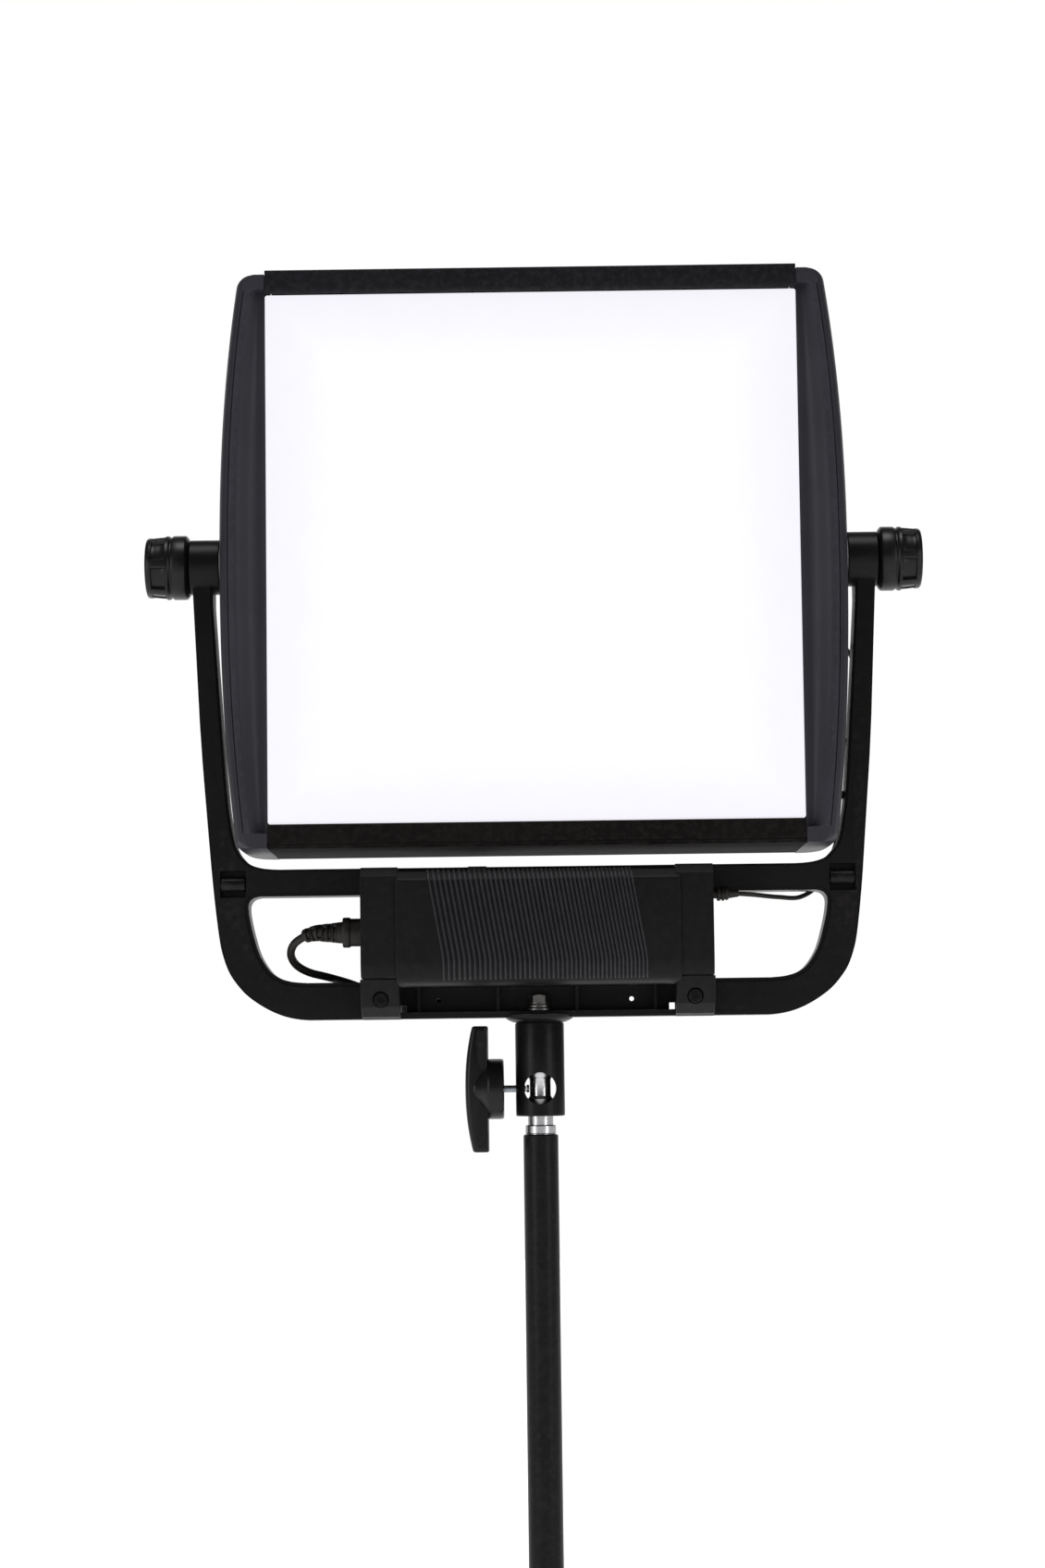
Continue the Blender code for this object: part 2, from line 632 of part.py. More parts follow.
def build_side_shells():
    top = HEAD_MID + HEAD_HALF - 2.6
    low = HEAD_MID - HEAD_HALF
    rows = [(low, True, 0), (low + 1.0, True, 0), (low + 3.0, True, 0), (low + 4.0, False, 0)]
    rows += [(low + 6.5, False, 0), (low + SCOOP_END - 1.5, False, 0)]
    start = low + SCOOP_END
    end = top - SCOOP_END
    steps = 9
    for k in range(steps + 1):
        rows.append((start + (end - start) * k / steps, False, 1))
    rows += [(end + 1.5, False, 0), (top - 6.5, False, 0), (top - 4.0, False, 0)]
    rows += [(top - 3.0, True, 0), (top - 1.0, True, 0), (top, True, 0)]
    for side, word in ((-1, "left"), (1, "right")):
        sections = [shell_section(z, side, closed, scoop) for z, closed, scoop in rows]
        shell = loft("side_shell_" + word, sections, SHELL)
        low_x, high_x = sorted((side * 190, side * 205))
        cut_rod(shell, AXLE_R + GAP, "X", (0, TILT_Z), low_x, high_x)
        low_x, high_x = sorted((side * 170, side * 205))
        for dz in (10.5, 16.0):
            cut_rod(shell, 1.2, "X", (FRONT + 20.0, low + dz), low_x, high_x, 12)
        smooth(shell, 30.0)


def build_rails():
    top = HEAD_MID + HEAD_HALF
    section = [
        (FRONT - 0.5, LIGHT_TOP + 1.6), (FRONT - 0.5, top - 0.8), (FRONT + 0.3, top), (48.0, top),
        (49.5, top - 1.5), (49.5, LIGHT_TOP - 4.0), (47.0, LIGHT_TOP - 4.0), (47.0, top - 2.5),
        (FRONT + 2.3, top - 2.5), (FRONT + 2.3, LIGHT_TOP + 0.2), (FRONT + 0.8, LIGHT_TOP + 0.2),
    ]
    prism("rail_top", section, "X", -LIGHT_X, LIGHT_X, RAIL)
    low = HEAD_MID - HEAD_HALF
    section = [
        (FRONT - 0.5, LIGHT_LOW), (FRONT - 0.5, low + 2.9), (FRONT + 1.1, low + 2.9),
        (FRONT + 1.1, low + 1.3), (FRONT + 3.6, low + 1.3), (FRONT + 3.6, low), (48.0, low),
        (49.5, low + 1.5), (49.5, LIGHT_LOW + 4.0), (47.0, LIGHT_LOW + 4.0), (47.0, low + 3.2),
        (FRONT + 6.0, low + 3.2), (FRONT + 6.0, low + 5.4), (FRONT + 2.3, low + 5.4),
        (FRONT + 2.3, LIGHT_LOW),
    ]
    prism("rail_bottom", section, "X", -LIGHT_X, LIGHT_X, RAIL)


def build_optics():
    diffuser = box(
        "diffuser", (-LIGHT_X, -48.0, LIGHT_LOW + GAP), (LIGHT_X, -44.0, LIGHT_TOP - GAP), OPAL
    )
    bevel(diffuser, 1.2, 2)
    tray = box("light_tray", (-164, -43.7, 497), (164, 8, 825), WHITE)
    cut_box(tray, (-162.4, -60, 498.6), (162.4, 6.4, 823.4))
    board = box("led_board", (-152, 4.4, 511), (152, 6.1, 811), WHITE)
    for row in range(4):
        for column in range(4):
            x = -120 + column * 80
            z = 541 + row * 80
            chip = box("led_chip", (x - 3, 3.2, z - 3), (x + 3, 4.6, z + 3), None, CUTTERS)
            combine(board, chip, "UNION")


def build_heat_sink():
    outline = [(-122, 8.3), (122, 8.3)]
    pitch = 12.2
    for k in range(20, -1, -1):
        x = -122 + k * pitch
        right = min(x + 2.0, 122)
        left = max(right - 2.0, -122)
        if k < 20:
            outline.append((right, 12.3))
        outline += [(right, 34.0), (left, 34.0)]
        if k > 0:
            outline.append((left, 12.3))
    prism("heat_sink", outline, "Z", 560, 770, ALLOY)


def build_rear():
    cover = box("rear_cover", (-LIGHT_X, 49.8, 481.5), (LIGHT_X, 53.8, 841.0), SHELL)
    for k in range(9):
        z = 620 + k * 18
        cut_box(cover, (-110, 40, z), (110, 60, z + 6))
    cut_box(cover, (-56, 40, 506), (56, 60, 544))
    box("control_board", (-54, 44.0, 507), (54, 45.6, 543), BOARD)
    plate = box("control_plate", (-62, 54.1, 500), (62, 56.1, 550), RAIL)
    cut_box(plate, (-22, 50, 514), (18, 60, 536))
    for x in (-44.0, 40.0):
        cut_rod(plate, 3.3, "Y", (x, 525), 50, 60, 20)
    box("display", (-21.7, 54.4, 514.3), (17.7, 55.8, 535.7), GLASS)


def build_dials():
    for name, x in (("dimmer_dial", 40.0), ("colour_dial", -44.0)):
        outline = []
        for k in range(36):
            angle = 2.0 * math.pi * k / 36
            radius = 9.6 if k % 3 else 9.0
            outline.append((x + radius * math.cos(angle), 525 + radius * math.sin(angle)))
        dial = prism(name, outline, "Y", 56.4, 68.4, KNOB)
        shaft = rod(name + "_shaft", 3.0, "Y", (x, 525), 47.0, 58.0, None, 16, CUTTERS)
        combine(dial, shaft, "UNION")
        cut_box(dial, (x - 0.7, 67.6, 525), (x + 0.7, 70, 536))
        set_origin(dial, (x, 56.4, 525))


def build_power_switch():
    bezel = box("switch_bezel", (82, 54.1, 512), (102, 57.6, 538), KNOB)
    cut_box(bezel, (84.6, 50, 514.6), (99.4, 60, 535.4))
    side = [
        (55.2, 521.0), (57.0, 515.6), (60.8, 515.6), (58.8, 525.0), (60.8, 534.4), (57.0, 534.4),
        (55.2, 529.0),
    ]
    rocker = prism("power_switch", side, "X", 85.0, 99.0, KNOB)
    set_origin(rocker, (92, 57.2, 525))


def build_sockets():
    for name, x in (("data_socket_in", -96.0), ("data_socket_out", -124.0)):
        ring = [(0, 55.4), (8.4, 55.4), (8.4, 57.4), (11.0, 57.4), (11.0, 54.1), (0, 54.1)]
        smooth(turned(name, ring, "Y", (x, 525), CHROME, 32))
    ring = [(0, 55.2), (5.3, 55.2), (5.3, 59.0), (8.0, 59.0), (8.0, 54.1), (0, 54.1)]
    smooth(turned("dc_socket", ring, "Y", (150.0, 600.0), KNOB, 28))
    plug = [
        (0, 55.6), (4.9, 55.6), (4.9, 59.4), (6.0, 59.6), (6.0, 70.0), (4.2, 71.0), (3.0, 79.8),
        (0, 79.8),
    ]
    smooth(turned("dc_plug", plug, "Y", (150.0, 600.0), PVC, 24))


def build_pivots():
    for side, word in ((-1, "left"), (1, "right")):
        axle = [
            (0, side * 190.0), (13.0, side * 190.0), (13.0, side * 194.9), (AXLE_R, side * 194.9),
            (AXLE_R, side * 228.0), (0, side * 228.0),
        ]
        smooth(turned("pivot_axle_" + word, axle, "X", (0, TILT_Z), CHROME, 28))
        ring = [
            (17.4, side * 198.8), (17.4, side * 199.9), (AXLE_R + GAP, side * 199.9),
            (AXLE_R + GAP, side * 198.8),
        ]
        smooth(turned("friction_washer_" + word, ring, "X", (0, TILT_Z), ZINC, 36))


def build_tilt_knobs():
    for side, word in ((-1, "left"), (1, "right")):
        ring = [
            (0, side * 228.4), (AXLE_R + GAP, side * 228.4), (AXLE_R + GAP, side * 220.1),
            (18.8, side * 220.1), (20.5, side * 221.6), (20.5, side * 233.0), (18.9, side * 246.0),
            (17.1, side * 247.5), (0, side * 247.5),
        ]
        knob = turned("tilt_knob_" + word, ring, "X", (0, TILT_Z), KNOB, 32)
        low, high = sorted((side * 234.4, side * 244.6))
        for k in range(6):
            angle = math.radians(30 + 60 * k)
            cy = 21.3 * math.cos(angle)
            cz = TILT_Z + 21.3 * math.sin(angle)
            cut_rod(knob, 4.2, "X", (cy, cz), low, high, 12)
        smooth(knob)
        set_origin(knob, (side * 220.0, 0, TILT_Z))


# ---------------------------------------------------------------- cords
def build_cords():
    tube_along("mains_cord", MAINS_PATH, MAINS_D, PVC)
    tube_along("mains_tail", TAIL_PATH, MAINS_D, PVC)
    tube_along("dc_cord", DC_PATH, DC_D, PVC)
    half = 1.5 * MAINS_D
    ring = []
    for u, v in arc(0, 0, 1.0, 22.5, 337.5, 7):
        flat_u = max(-1.0, min(1.0, u * 1.25))
        flat_v = max(-1.0, min(1.0, v * 1.25))
        ring.append((COIL_R + half * flat_u, COIL_Y + half * flat_v))
    smooth(turned("mains_coil", ring, "Y", (COIL_X, COIL_Z), PVC, 36))


def build_cord_tie():
    """A strap round the cross bar and the top of the coil."""
    low_z = COIL_Z + COIL_R - 1.5 * MAINS_D - 1.4
    tie = box("cord_tie", (COIL_X - 6, -13.6, low_z - 1.2), (COIL_X + 6, 36.2, 470.8), STRAP)
    cut_box(tie, (COIL_X - 8, -12.4, low_z), (COIL_X + 8, 35.0, 469.6))


def build_cord_clips():
    """Saddles that hold the low-voltage cord against the back of the right arm."""
    base = YOKE_BACK + GAP
    for word, x, z in (("lower", 198.6, 513.0), ("upper", 203.8, 547.0)):
        outline = [(x - 6.0, base), (x + 6.0, base), (x + 6.0, base + 1.2)]
        outline += arc(x, CLIP_Y, 3.4, 0, 180, 8)
        outline += [(x - 6.0, base + 1.2)]
        clip = prism("cord_clip_" + word, outline, "Z", z - 2.5, z + 2.5, KNOB)
        cut_rod(clip, 2.2, "Z", (x, CLIP_Y), z - 5, z + 5, 20)


def build_mains_plug():
    """A plain two-pin wall plug hanging by its tail behind the foot of the yoke."""
    half = [(14.5, 404.0), (14.5, 413.0), (13.0, 425.8), (9.5, PLUG_TOP)]
    outline = [(PLUG_X + x, z) for x, z in half]
    outline += [(PLUG_X - x, z) for x, z in reversed(half)]
    outline += [(PLUG_X - 13.5, 396.0), (PLUG_X - 11.5, PLUG_LOW)]
    outline += [(PLUG_X + 11.5, PLUG_LOW), (PLUG_X + 13.5, 396.0)]
    plug = prism("mains_plug", outline, "Y", PLUG_Y - 8.0, PLUG_Y + 8.0, PVC)
    for x in (PLUG_X - 6.5, PLUG_X + 6.5):
        low = PLUG_LOW - PIN_LENGTH
        pin = rod("mains_plug_pin", 2.0, "Z", (x, PLUG_Y), low, 397.0, None, 12, CUTTERS)
        combine(plug, pin, "UNION")


# ---------------------------------------------------------------- build and group
def build_all():
    build_riser()
    build_stud()
    build_receiver()
    build_receiver_bolt()
    build_clamp()
    build_yoke()
    build_yoke_pins()
    build_psu()
    build_brackets()
    build_mains_inlet()
    build_dc_gland()
    build_side_shells()
    build_rails()
    build_optics()
    build_heat_sink()
    build_rear()
    build_dials()
    build_power_switch()
    build_sockets()
    build_pivots()
    build_tilt_knobs()
    build_cords()
    build_cord_tie()
    build_cord_clips()
    build_mains_plug()


def group_head():
    """The head turns as one about the tilt axis, which is this empty's origin."""
    axis = bpy.data.objects.new("tilt_axis", None)
    axis.location = (0, 0, TILT_Z * MM)
    LAMP.objects.link(axis)
    names = [
        "side_shell_left", "side_shell_right", "rail_top", "rail_bottom", "diffuser", "light_tray",
        "led_board", "heat_sink", "rear_cover", "control_board", "control_plate", "display",
        "switch_bezel", "data_socket_in", "data_socket_out", "dc_socket", "dc_plug",
        "pivot_axle_left", "pivot_axle_right", "friction_washer_left", "friction_washer_right",
    ]
    for name in names:
        hang(bpy.data.objects[name], axis)


build_all()
group_head()
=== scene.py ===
"""The looks of the studio panel light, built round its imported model. Metres, Z up, lit face to -Y."""
import math

import bmesh
import bpy
from mathutils import Matrix, Vector


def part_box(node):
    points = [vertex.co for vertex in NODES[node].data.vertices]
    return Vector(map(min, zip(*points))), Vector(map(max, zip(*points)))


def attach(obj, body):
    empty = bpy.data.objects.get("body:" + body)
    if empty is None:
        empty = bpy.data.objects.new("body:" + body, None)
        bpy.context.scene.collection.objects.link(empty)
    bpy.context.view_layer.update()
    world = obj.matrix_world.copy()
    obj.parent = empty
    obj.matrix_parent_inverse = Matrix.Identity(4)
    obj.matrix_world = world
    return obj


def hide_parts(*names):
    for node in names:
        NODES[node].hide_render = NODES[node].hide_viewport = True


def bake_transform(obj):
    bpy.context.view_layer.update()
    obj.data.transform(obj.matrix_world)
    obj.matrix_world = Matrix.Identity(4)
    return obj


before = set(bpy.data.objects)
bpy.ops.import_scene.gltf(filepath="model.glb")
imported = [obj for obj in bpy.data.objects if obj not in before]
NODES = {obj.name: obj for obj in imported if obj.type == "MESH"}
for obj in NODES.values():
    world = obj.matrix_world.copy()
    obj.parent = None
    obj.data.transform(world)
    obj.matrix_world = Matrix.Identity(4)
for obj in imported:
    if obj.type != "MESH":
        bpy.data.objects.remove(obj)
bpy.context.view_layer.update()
MM = 0.001
SIDES = ((-1, "left"), (1, "right"))


def place_object(name, data):
    """A new object with the data, linked into the scene."""
    obj = bpy.data.objects.new(name, data)
    bpy.context.scene.collection.objects.link(obj)
    return obj


def turns(count):
    """Equal angles round a full turn."""
    return [2 * math.pi * k / count for k in range(count)]


def eased(share):
    """A share held between 0 and 1, with a soft start and end."""
    share = max(0.0, min(1.0, share))
    return share * share * (3 - 2 * share)


# ---------------------------------------------------------------- camera
LENS = 76.05
EYE = Vector((0.0, -2.1, 0.3318))
AIM = Vector((-0.0088, 0.0, 0.5214))
ROLL = math.radians(-0.72)


def make_camera():
    """A long lens a little below the head, looking up at it with a slight roll."""
    data = bpy.data.cameras.new("camera")
    data.sensor_fit = "HORIZONTAL"
    data.sensor_width = 24.0
    data.lens = LENS
    data.clip_end = 50.0
    cam = place_object("camera", data)
    turn = (AIM - EYE).to_track_quat("-Z", "Y").to_matrix().to_4x4()
    cam.matrix_world = Matrix.Translation(EYE) @ turn @ Matrix.Rotation(ROLL, 4, "Z")
    bpy.context.scene.camera = cam


make_camera()


# ---------------------------------------------------------------- materials
class Shader:
    """A small builder for node materials that work in object space."""

    def __init__(self, name):
        self.mat = bpy.data.materials.new(name)
        self.mat.use_nodes = True
        self.tree = self.mat.node_tree
        self.bsdf = self.tree.nodes["Principled BSDF"]
        self.coord = self.tree.nodes.new("ShaderNodeTexCoord").outputs["Object"]

    def node(self, kind, **inputs):
        made = self.tree.nodes.new(kind)
        for key, value in inputs.items():
            made.inputs[key.replace("_", " ")].default_value = value
        return made

    def surface(self, **inputs):
        for key, value in inputs.items():
            self.bsdf.inputs[key.replace("_", " ")].default_value = value

    def math(self, operation, first, second):
        """A sum on two values, each an output of a node or a plain number."""
        made = self.node("ShaderNodeMath")
        made.operation = operation
        for slot, value in enumerate((first, second)):
            if isinstance(value, float):
                made.inputs[slot].default_value = value
            else:
                self.link(value, made.inputs[slot])
        return made.outputs["Value"]

    def link(self, out, target):
        self.tree.links.new(out, target)

    def noise(self, scale, detail=4.0, rough=0.55, stretch=None):
        tex = self.node("ShaderNodeTexNoise", Scale=scale, Detail=detail, Roughness=rough)
        source = self.coord
        if stretch:
            mapping = self.node("ShaderNodeMapping", Scale=stretch)
            self.link(source, mapping.inputs["Vector"])
            source = mapping.outputs["Vector"]
        self.link(source, tex.inputs["Vector"])
        return tex.outputs["Fac"]

    def ramp(self, fac, low, high, a=0.35, b=0.65):
        ramp = self.node("ShaderNodeValToRGB")
        for element, place, colour in zip(ramp.color_ramp.elements, (a, b), (low, high)):
            element.position = place
            element.color = colour
        self.link(fac, ramp.inputs["Fac"])
        return ramp.outputs["Color"]

    def span(self, fac, low, high):
        span = self.node("ShaderNodeMapRange", To_Min=low, To_Max=high)
        self.link(fac, span.inputs["Value"])
        return span.outputs["Result"]

    def bump(self, height, strength, distance):
        bump = self.node("ShaderNodeBump", Strength=strength, Distance=distance)
        self.link(height, bump.inputs["Height"])
        self.link(bump.outputs["Normal"], self.bsdf.inputs["Normal"])
        return bump


def grey(colour, factor):
    """The colour made lighter or darker, with full alpha."""
    return (colour[0] * factor, colour[1] * factor, colour[2] * factor, 1.0)


def moulded(name, colour, rough, grain, bump=0.12, wear=1.6, coat=0.0, shine=0.22):
    """Plastic or paint with fine grain, faint cloudiness and paler rubbed edges."""
    s = Shader(name)
    cloud = s.noise(14.0, 5.0)
    base = s.ramp(cloud, grey(colour, 0.88), grey(colour, 1.14))
    geo = s.node("ShaderNodeNewGeometry")
    edge = s.ramp(geo.outputs["Pointiness"], (0, 0, 0, 1), (1, 1, 1, 1), 0.515, 0.57)
    scratch = s.noise(220.0, 3.0, 0.7)
    rub = s.ramp(scratch, (0, 0, 0, 1), (1, 1, 1, 1), 0.45, 0.62)
    mix = s.node("ShaderNodeMix")
    mix.data_type = "RGBA"
    s.link(s.math("MULTIPLY", edge, rub), mix.inputs["Factor"])
    s.link(base, mix.inputs["A"])
    mix.inputs["B"].default_value = grey(colour, wear)
    s.link(mix.outputs["Result"], s.bsdf.inputs["Base Color"])
    s.link(s.span(s.noise(40.0, 4.0), rough - 0.06, rough + 0.08), s.bsdf.inputs["Roughness"])
    s.surface(Coat_Weight=coat, Coat_Roughness=0.25, Specular_IOR_Level=shine)
    s.bump(s.noise(grain, 2.0, 0.6), bump, 0.0002)
    return s.mat


def metal(name, colour, rough, stretch, bump=0.08):
    """Plated or machined metal with turning marks and light tarnish."""
    s = Shader(name)
    s.link(s.ramp(s.noise(30.0, 4.0), grey(colour, 0.86), grey(colour, 1.06)), s.bsdf.inputs["Base Color"])
    marks = s.noise(900.0, 2.0, 0.5, stretch)
    s.link(s.span(marks, rough - 0.05, rough + 0.12), s.bsdf.inputs["Roughness"])
    s.surface(Metallic=1.0)
    s.bump(marks, bump, 0.0001)
    return s.mat


def make_opal():
    """Diffusing acrylic lit from behind: even white that falls off a little to the frame."""
    s = Shader("opal_lit")
    low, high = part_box("diffuser")
    parts = s.node("ShaderNodeSeparateXYZ")
    s.link(s.coord, parts.inputs["Vector"])
    falls = []
    for axis, mid, half in (("X", 0.0, high[0]), ("Z", (low[2] + high[2]) / 2, (high[2] - low[2]) / 2)):
        span = s.node("ShaderNodeMapRange", From_Min=half * 0.45, From_Max=half * 1.02)
        span.interpolation_type = "SMOOTHSTEP"
        away = s.math("SUBTRACT", parts.outputs[axis], float(mid))
        s.link(s.math("ABSOLUTE", away, 0.0), span.inputs["Value"])
        falls.append(span.outputs["Result"])
    glow = s.ramp(s.math("MAXIMUM", *falls), (1.0, 1.0, 1.0, 1.0), (0.84, 0.83, 0.89, 1.0), 0.0, 1.0)
    s.link(glow, s.bsdf.inputs["Emission Color"])
    s.link(s.ramp(s.noise(60.0), (0.06, 0.06, 0.063, 1), (0.07, 0.07, 0.073, 1)), s.bsdf.inputs["Base Color"])
    s.surface(Emission_Strength=1.0, Roughness=0.5)
    s.bump(s.noise(1500.0, 2.0), 0.05, 0.0001)
    return s.mat


def make_board():
    """Green solder mask with a faint pattern of tracks."""
    s = Shader("circuit_board_mask")
    brick = s.node(
        "ShaderNodeTexBrick", Scale=260.0, Color1=(0.02, 0.13, 0.06, 1), Color2=(0.03, 0.17, 0.08, 1),
        Mortar=(0.12, 0.30, 0.14, 1),
    )
    s.link(s.coord, brick.inputs["Vector"])
    s.link(brick.outputs["Color"], s.bsdf.inputs["Base Color"])
    s.surface(Roughness=0.4)
    s.bump(s.noise(500.0), 0.1, 0.0001)
    return s.mat


def make_strap():
    """Black woven webbing."""
    s = Shader("woven_strap")
    wave = s.node("ShaderNodeTexWave", Scale=900.0, Distortion=1.5)
    s.link(s.coord, wave.inputs["Vector"])
    threads = s.ramp(wave.outputs["Color"], (0.008, 0.008, 0.009, 1), (0.03, 0.03, 0.032, 1))
    s.link(threads, s.bsdf.inputs["Base Color"])
    s.surface(Roughness=0.85)
    s.bump(wave.outputs["Color"], 0.5, 0.0003)
    return s.mat


CAST = moulded("satin_black_casting", (0.0046, 0.0040, 0.0040), 0.36, 1100.0, 0.10, 2.2, shine=0.13)
SHELL = moulded("black_textured_shell", (0.0195, 0.0188, 0.0245), 0.46, 1500.0, 0.12, 1.7, shine=0.2)
SUPPLY = moulded("black_supply_case", (0.0046, 0.0045, 0.0050), 0.42, 1500.0, 0.10, 1.9, shine=0.09)
# The ribs get a lighter grey than the supply case: a painted highlight standing in for the bright lines along
# their crests.
PAINTED_RIB_HIGHLIGHT = moulded("supply_rib_painted_highlight", (0.0230, 0.0230, 0.0262), 0.40, 1500.0, 0.06, 1.3, shine=0.16)
RAIL = moulded("black_anodised_rail", (0.0062, 0.0058, 0.0072), 0.48, 1700.0, 0.06, 2.2, shine=0.08)
RAIL_LOW = moulded("matt_anodised_rail", (0.0066, 0.0058, 0.0056), 0.60, 1700.0, 0.06, 2.2, shine=0.01)
NYLON = moulded("black_nylon", (0.0046, 0.0044, 0.0048), 0.30, 900.0, 0.08, 2.4, shine=0.2)
TUBE = moulded("black_powder_coat", (0.0042, 0.0039, 0.0042), 0.34, 1800.0, 0.12, 2.0, shine=0.11)
PVC = moulded("black_pvc_cord", (0.0105, 0.0090, 0.0080), 0.45, 800.0, 0.10, 1.6)
CHROME = metal("plated_spigot", (0.52, 0.52, 0.535), 0.24, (1.0, 1.0, 14.0))
ZINC = metal("zinc_steel", (0.40, 0.43, 0.47), 0.38, (6.0, 1.0, 1.0), 0.2)
DARK_STEEL = metal("blackened_steel", (0.16, 0.155, 0.15), 0.34, (1.0, 4.0, 1.0), 0.15)
BRASS = metal("turned_brass", (0.60, 0.44, 0.20), 0.32, (10.0, 1.0, 1.0))
ALLOY = metal("extruded_aluminium", (0.58, 0.58, 0.60), 0.36, (1.0, 1.0, 0.2))
BRIGHT = moulded("bright_washer", (0.34, 0.34, 0.34), 0.34, 900.0, 0.05, 1.1, shine=0.5)
WHITE = moulded("white_tray_paint", (0.80, 0.80, 0.80), 0.5, 900.0, 0.05, 1.05)
CORE = moulded("wound_core", (0.10, 0.07, 0.05), 0.6, 500.0, 0.3, 1.4)
WINDOW = moulded("display_window", (0.012, 0.018, 0.024), 0.12, 300.0, 0.01, 1.2, coat=0.6)
OPAL = make_opal()
BOARD = make_board()
STRAP = make_strap()

DRESS = (
    (TUBE, "riser_tube"),
    (NYLON,
     "riser_end_plug cord_clip_lower cord_clip_upper mains_inlet clamp_handle switch_bezel "
     "dc_socket tilt_knob_left tilt_knob_right dimmer_dial colour_dial power_switch"),
    (CHROME, "stud data_socket_in data_socket_out pivot_axle_left pivot_axle_right"),
    (CAST, "receiver yoke arm_pin_left arm_pin_right"),
    (DARK_STEEL, "receiver_bolt bolt_washer_lower bolt_washer_upper clamp_bolt_left clamp_bolt_right"),
    (SUPPLY,
     "psu_housing psu_back_plate psu_bracket_left psu_bracket_right bar_clamp_left "
     "bar_clamp_right"),
    (BOARD, "psu_board control_board"),
    (CORE, "psu_transformer"),
    (PVC, "mains_connector dc_gland mains_plug dc_plug"),
    (STRAP, "cord_tie"),
    (ZINC, "clamp_pad clamp_screw friction_washer_left friction_washer_right"),
    (SHELL, "side_shell_left side_shell_right rear_cover"),
    (RAIL, "rail_top control_plate"),
    (RAIL_LOW, "rail_bottom"),
    (OPAL, "diffuser"),
    (WHITE, "light_tray led_board"),
    (ALLOY, "heat_sink"),
    (WINDOW, "display"),
)
NODE_MATERIALS = {name: mat for mat, names in DRESS for name in names.split()}


def dress_nodes():
    """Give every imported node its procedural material."""
    for name, mat in NODE_MATERIALS.items():
        for slot in NODES[name].material_slots:
            slot.material = mat


dress_nodes()


# ---------------------------------------------------------------- cords
MAINS_D = 5.2
DC_D = 3.0
COIL_CENTRE = Vector((-38.0, 26.6, 425.5))
COIL_R = 31.0
COIL_START_R = 42.0
COIL_END_R = 40.1
STEPS_PER_TURN = 40
ROUTE_STEP = 3.0

MAINS_PATH = [
    (-135.3, -26, 427), (-138.2, -26, 427), (-145.8, -23.8, 425.3), (-153.5, -17.6, 420.7),
    (-156.3, -9.2, 414.4), (-153.5, -0.8, 408.1), (-145.8, 5.6, 403.5), (-134.6, 11.6, 400.6),
    (-121.5, 19.6, 396.8), (-101, 24.8, 389.4), (-74, 25.6, 384.4), (-46, 25.6, 383.4),
]
TAIL_PATH = [
    (-44.6, 27, 465.6), (-48.4, 27, 465.6), (-58, 28.6, 464.8), (-70, 32.4, 461.4),
    (-81.6, 36.2, 453.4), (-89.8, 38, 443.6), (-93, 38, 434), (-93.4, 38, 431),
    (-93.4, 38, 428.3),
]
DC_PATH = [
    (120.4, -24, 448.5), (124, -24, 448.5), (136, -20.8, 447.8), (152, -5.4, 447),
    (168, 12, 448), (181.4, 19.4, 458.4), (192, 16.4, 484), (198.6, 14.9, 513),
    (203.8, 14.9, 547), (207.2, 18.6, 578), (206.4, 33.6, 602), (200.6, 55, 614.4),
    (187.6, 78.4, 615.6), (167.2, 93, 608.4), (153.6, 92, 601.6), (150, 84, 600),
    (150, 80.2, 600),
]


def with_ends(points):
    """The points as vectors, with one more past each end."""
    first = 2 * Vector(points[0]) - Vector(points[1])
    last = 2 * Vector(points[-1]) - Vector(points[-2])
    return [first] + [Vector(p) for p in points] + [last]


def between(before, a, b, after, t):
    """The place at share t of the way from a to b, on a smooth curve through all four points."""
    bend = 2 * before - 5 * a + 4 * b - after
    twist = 3 * a - before - 3 * b + after
    return 0.5 * (2 * a + (b - before) * t + bend * t * t + twist * t * t * t)


def smooth_route(points, step):
    """Points about one step apart on a smooth curve through the given points."""
    knots = with_ends(points)
    route = [knots[1]]
    for i in range(1, len(knots) - 2):
        count = max(1, round((knots[i + 1] - knots[i]).length / step))
        route += [between(*knots[i - 1:i + 3], k / count) for k in range(1, count + 1)]
    return route


def coil_route():
    """Nine turns, three wide and three deep; the last one lifts out under the strap at the top."""
    order = [(0, -1), (-1, -1), (-1, 0), (0, 0), (0, 1), (-1, 1), (1, -1), (1, 0), (1, 1)]
    places = [(COIL_R + MAINS_D * r, MAINS_D * y) for r, y in order]
    points = []
    total = 8 * STEPS_PER_TURN + STEPS_PER_TURN // 2
    for k in range(total):
        turn = k / STEPS_PER_TURN
        index = min(int(turn), len(order) - 1)
        part = turn - index
        here = places[index]
        ahead = places[min(index + 1, len(places) - 1)]
        ease = eased((part - 0.72) / 0.28)
        radius = here[0] + (ahead[0] - here[0]) * ease
        depth = here[1] + (ahead[1] - here[1]) * ease
        lift = eased(1.0 - turn / 0.45)
        radius += (COIL_START_R - radius) * lift
        depth += (-1.0 - depth) * lift
        leave = eased(1.0 - (total - k) / STEPS_PER_TURN / 0.4)
        radius += (COIL_END_R - radius) * leave
        depth += (0.4 - depth) * leave
        angle = math.radians(-90 + 360 * turn)
        flat = Vector((radius * math.cos(angle), depth, radius * math.sin(angle)))
        points.append(COIL_CENTRE + flat)
    return points


